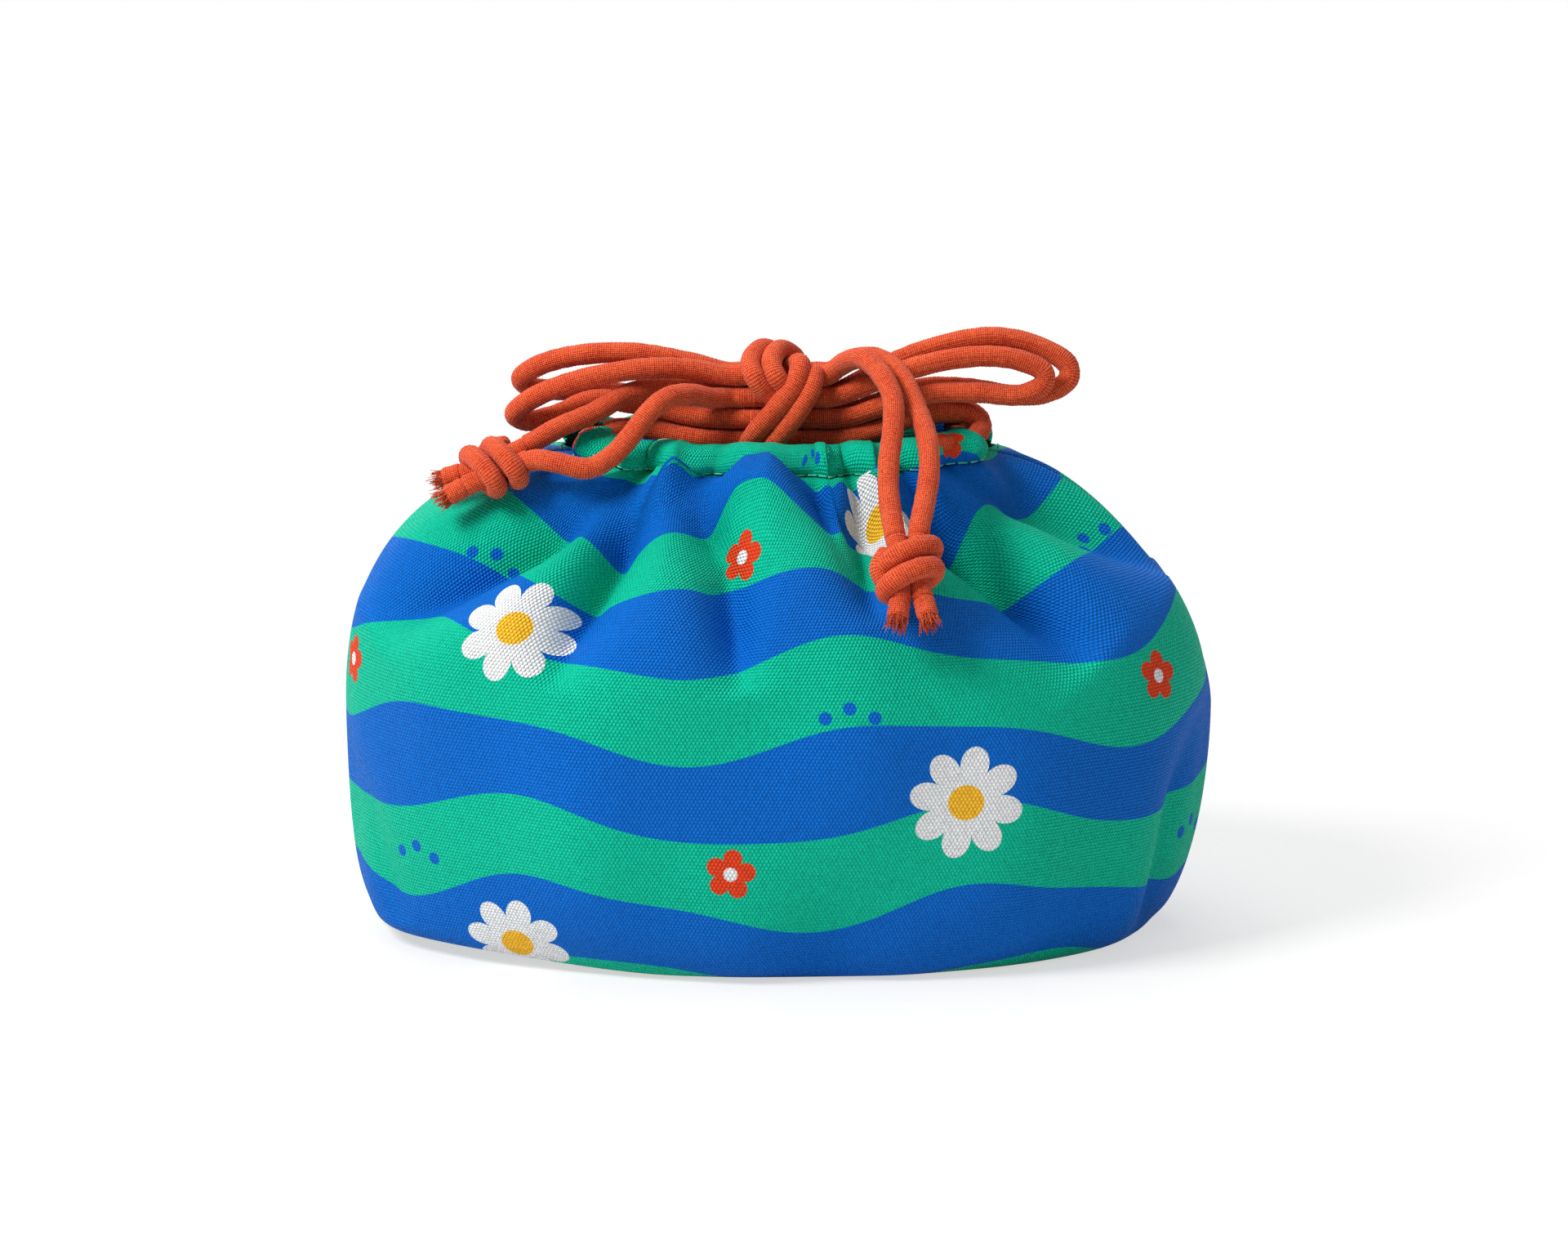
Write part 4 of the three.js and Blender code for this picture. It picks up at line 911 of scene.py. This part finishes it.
def build_cords():
    bow_knot()
    for name, route in lead_routes().items():
        cord_piece(name, route, "bag")
    for name, route in LOOPS.items():
        cord_piece(name, route, name.split("_")[0] + "_loops")
    for side in ("left", "right"):
        first, second = TAILS[f"{side}_tail_strand_1"], TAILS[f"{side}_tail_strand_2"]
        end = tail_end(first, second)
        knot = stopper_knot(side, *end)
        tips = [cord_tip(side, 1, 1, *end), cord_tip(side, 2, -1, *end)]
        cord_piece(f"{side}_tail_strand_1", first, f"{side}_tail")
        cord_piece(f"{side}_tail_strand_2", second, f"{side}_tail")
    cord_in_casing("left", math.pi, -LANE)
    cord_in_casing("right", 0.0, LANE)


# Cloth pieces

# How far the cloth is drawn in along a side seam, by columns from it, and columns from it to the casings
SEAM_GROOVE = {0: 0.9, 1: 0.4, -1: 0.4, 2: 0.1, -2: 0.1}
SLIT_COLUMNS = 14
# The roll at the top of the casing, and how much lower its crest lies in places
ROLL_REACH, ROLL_RISE, ROLL_CURL = 6.2, 2.4, 0.9
CREST_DROPS = (1.5, 0.5, 0.3)
# Seam allowances: distance of the near edge from the seam, and the width of their cloth
SEAM_NEAR, SEAM_WIDTH = 1.1, 8.0
STITCH_LENGTH, STITCH_GAP, STITCH_STEP = 2.3, 0.9, 0.3
STITCH_OUT, STITCH_UP = 7.2, 0.5
THREAD_RADIUS, TACK_SPACING = 0.3, 0.45


def seam_groove(wall):
    """Draws the cloth in a little along both side seams."""
    normal = outward_normals(wall)
    for seam in (0, HALF):
        for step, depth in SEAM_GROOVE.items():
            c = (seam + step) % COLUMNS
            wall[1:-1, c] -= normal[1:-1, c] * depth
    return wall, normal


def casing_rows():
    """Rows of the gathered casing: up its outside, over the top, and down inside the mouth."""
    crest = CREST_DROPS[0] * RUFFLE_SIZE * np.cos(RUFFLE_PHASE + 0.5)
    crest += CREST_DROPS[1] * np.cos(RUFFLE_PHASE / 6.0 + 2.0)
    crest += CREST_DROPS[2] * np.sin(RUFFLE_PHASE * 3.0 + 0.7) * RUFFLE_SIZE
    rows = []
    for t in np.linspace(0, 1, 8):
        out = CASING_FOOT + 1.2 * math.sin(math.pi * t) - 0.4 * t
        rows.append((out, CASING_RISE * t, RUFFLE_SWING, RUFFLE_CURL + 0.5 * t, RUFFLE_TILT * t, crest * t))
    for turn in np.linspace(0, math.pi, 8)[1:-1]:
        out, height = ROLL_REACH * math.cos(turn) + 0.2, CASING_RISE + ROLL_RISE * math.sin(turn)
        swing = lerp(RUFFLE_SWING, RUFFLE_SWING_INSIDE, turn / math.pi)
        rows.append((out, height, swing, ROLL_CURL, RUFFLE_TILT, crest * math.cos(turn / 2)))
    for t in np.linspace(1, 0, 7):
        out = CASING_INSIDE - 0.5 * math.sin(math.pi * t)
        rows.append((out, CASING_RISE * t, RUFFLE_SWING_INSIDE, RUFFLE_CURL, RUFFLE_TILT * t))
    return np.stack([ruffled_line(*row) for row in rows])


def strip(name, near, far):
    """A seam allowance: a narrow double strip of cloth along a seam, inside the pouch."""
    grid = np.stack([near, lerp(near, far, 0.5), far])
    uv = stacked(*np.meshgrid(distances(near), [0, SEAM_WIDTH / 2, SEAM_WIDTH]))
    cloth_piece(name, grid, uv, thickness=2 * CLOTH, offset=0)


def stitch_row(name, line):
    path = even_path(line, STITCH_STEP)
    step, long = round((STITCH_LENGTH + STITCH_GAP) / STITCH_STEP), round(STITCH_LENGTH / STITCH_STEP)
    parts = []
    for k in range(4, len(path) - step, step):
        run = path[k:k + long + 1]
        lift = np.sin(np.linspace(0, np.pi, len(run)))[:, None] * 0.18
        away = run - path.mean(axis=0)
        away[:, 2] = 0
        away /= norm(away, axis=1)[:, None]
        parts.append(fibre_mesh(run + away * (lift + 0.05), THREAD_RADIUS))
    joined_piece(name, parts, THREAD, "bag")


def slit_tack(name):
    """Threads sewn across the foot of a slit, one over the other."""
    low, high = (np.array(c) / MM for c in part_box(name))
    x = (low[0] + high[0]) / 2
    out = x + np.sign(x) * 0.35
    parts = []
    for z in np.arange(low[2] + 0.3, high[2] - 0.2, TACK_SPACING):
        run = [(x, low[1], z), (out, lerp(low[1], high[1], 0.3), z + 0.12),
               (out, lerp(low[1], high[1], 0.7), z), (x, high[1], z + 0.12)]
        parts.append(fibre_mesh(curve_path(run, 0.4), THREAD_RADIUS))
    joined_piece(name, parts, THREAD, "bag")


def panel_cut():
    """Flat size of a panel: half the girth, and half the base with the plain wall."""
    middle = pouch_wall()[:, COLUMNS // 4]
    return BELLY_GIRTH / 2 * MM, (BASE_DEPTH + gaps(middle).sum()) * MM


def casing_cut(rows):
    """Cloth that a casing's ruffles take up, and from its foot over the top and down inside."""
    return tuple(gaps(rows, axis).sum(axis=axis).mean() * MM for axis in (1, 0))


def mean_rise(rows):
    """How far up the cloth each row of a grid lies, on average."""
    return running(gaps(rows).mean(axis=1))


def build_panels(wall):
    edge = wall[0]
    base_half = np.where(edge[:, 0] < 0, BASE_LEFT, BASE_RIGHT)
    seam = stacked(edge[:, 0] * BASE_SEAM_HALF / base_half, 0.0, 0.0)
    t = np.linspace(0, 1, BASE_ROWS)[:-1]
    body = np.concatenate([lerp(seam[None], edge[None], t[:, None, None]), wall])
    u = np.arange(COLUMNS + 1) * BELLY_GIRTH / COLUMNS
    v = np.concatenate([np.linspace(0, BASE_DEPTH, BASE_ROWS)[:-1], BASE_DEPTH + mean_rise(wall)])
    casing = casing_rows()
    casing_v = mean_rise(casing) + v[-1]
    stitch = ruffled_line(STITCH_OUT, STITCH_UP, RUFFLE_SWING, RUFFLE_CURL)
    for side, first in (("back", 0), ("front", HALF)):
        run = np.arange(first, first + HALF + 1)
        panel = cloth_piece(f"{side}_panel", body[:, run % COLUMNS], stacked(*np.meshgrid(u[run], v)))
        short = run[SLIT_COLUMNS:-SLIT_COLUMNS]
        rows = casing[:, short % COLUMNS]
        band = cloth_piece(f"{side}_casing", rows, stacked(*np.meshgrid(u[short], casing_v)))
        panel_cut()
        casing_cut(rows)
        stitch_row(f"{side}_casing_stitch", stitch[short % COLUMNS])


def build_seams(wall, normal):
    for side, seam in (("right", 0), ("left", HALF)):
        rows = slice(6, WALL_ROWS - 16)
        line, out = wall[rows, seam], normal[rows, seam]
        strip(f"{side}_side_seam", line - out * SEAM_NEAR, line - out * 8.4)
        slit_tack(f"{side}_slit_tack")
    x = np.linspace(-BASE_SEAM_HALF + 2, BASE_SEAM_HALF - 2, 60)
    strip("bottom_seam", stacked(x, 0.0, SEAM_NEAR), stacked(x, 0.7 * np.sin(x / 9), 8.6))
    for name in ("left_corner_seam", "right_corner_seam"):
        low, high = (np.array(c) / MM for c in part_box(name))
        y = np.linspace(low[1] + 0.5, high[1] - 0.5, 30)
        x = (low[0] + high[0]) / 2
        strip(name, stacked(x, y, low[2]), stacked(x + 0.6 * np.sin(y / 7), y, high[2]))


# Camera, light and floor, in metres

CAMERA_DISTANCE, CAMERA_RISE = 1.2, math.radians(12)
CAMERA_LENS, CAMERA_SENSOR = 102, 36
CAMERA_TARGET = np.array([0.0011, 0.0, 0.0803])
LAMP_TARGET = (0, 0, 0.07)
# Lamps as (name, place, size, power, colour), and the strength of the surroundings
LAMPS = (
    ("key", (-0.75, -0.5, 0.95), 0.42, 17.0, (1, 0.99, 0.97)),
    ("fill", (0.9, -0.7, 0.5), 0.9, 1.3, (1, 1, 1)),
    ("top", (0.0, 0.25, 1.1), 0.9, 5.6, (1, 1, 1)),
    ("back", (-0.3, 1.0, 0.7), 0.9, 4.6, (1, 1, 1)),
)
SURROUND_LIGHT = 0.22
# The floor lies a little under the pouch, and turns from partly to wholly white between two distances
FLOOR_HALF, FLOOR_DROP = 3.0, 0.0006
FLOOR_WHITE, WHITE_FROM, WHITE_TO = 0.6, 0.16, 0.5


def aim(item, place, target):
    direction = mathutils.Vector(target) - mathutils.Vector(place)
    item.location = place
    item.rotation_euler = direction.to_track_quat("-Z", "Y").to_euler()


def add_lamp(name, place, size, power, colour):
    lamp = bpy.data.lights.new(name, "AREA")
    lamp.shape = "RECTANGLE"
    lamp.size = lamp.size_y = size
    lamp.energy, lamp.color = power, colour
    item = bpy.data.objects.new(name, lamp)
    bpy.context.scene.collection.objects.link(item)
    aim(item, place, LAMP_TARGET)


def build_stage():
    scene = bpy.context.scene
    scene.view_settings.view_transform = "Standard"
    camera = bpy.data.objects.new("camera", bpy.data.cameras.new("camera"))
    scene.collection.objects.link(camera)
    camera.data.lens, camera.data.sensor_width = CAMERA_LENS, CAMERA_SENSOR
    back = np.array([0, -math.cos(CAMERA_RISE), math.sin(CAMERA_RISE)]) * CAMERA_DISTANCE
    aim(camera, (CAMERA_TARGET + back).tolist(), CAMERA_TARGET.tolist())
    scene.camera = camera
    for lamp in LAMPS:
        add_lamp(*lamp)
    scene.world = white_world()
    corners = np.array([(-1, -1), (1, -1), (1, 1), (-1, 1)]) * FLOOR_HALF / MM
    floor = add_mesh("floor", stacked(corners[:, 0], corners[:, 1], -FLOOR_DROP / MM), [[0, 1, 2, 3]])
    floor.data.materials.append(floor_material())


def seen_rays(n):
    """1 for rays from the camera, by reflection or through something clear."""
    rays = n.tree.nodes.new("ShaderNodeLightPath").outputs
    seen = rays["Is Camera Ray"]
    for name in ("Is Glossy Ray", "Is Transmission Ray"):
        seen = n.math("MAXIMUM", seen, rays[name])
    return seen


def white_world():
    """White surroundings: bright where they are seen, and dimmer as a light on the pouch."""
    n = Nodes(bpy.data.worlds.new("studio"))
    ground = n.tree.nodes["Background"].inputs
    n.put(ground["Color"], (1, 1, 1, 1))
    ends = {"Value": seen_rays(n), "To Min": SURROUND_LIGHT, "To Max": 1.0}
    n.put(ground["Strength"], n.node("MapRange", "Result", ends))
    return n.owner


def floor_material():
    """A pale floor that keeps the shadow of the pouch and turns white further away."""
    n = Nodes(bpy.data.materials.new("pale_floor"))
    material = n.finish((0.9, 0.9, 0.9, 1), 0.9, 0.1)
    away = n.node("VectorMath", "Value", {0: n.place()}, operation="LENGTH")
    white = n.total(n.times(n.ramp(away, WHITE_FROM, WHITE_TO), 1 - FLOOR_WHITE), FLOOR_WHITE)
    pale = n.tree.nodes["Principled BSDF"].outputs[0]
    glow = n.node("Emission", 0, {"Strength": 1.0})
    mixed = n.node("MixShader", 0, {0: n.times(seen_rays(n), white), 1: pale, 2: glow})
    n.put(n.tree.nodes["Material Output"].inputs["Surface"], mixed)
    return material


build_cords()
cloth_wall, wall_normal = seam_groove(gathered_wall())
build_panels(cloth_wall)
build_seams(cloth_wall, wall_normal)
build_stage()

bpy.context.view_layer.update()
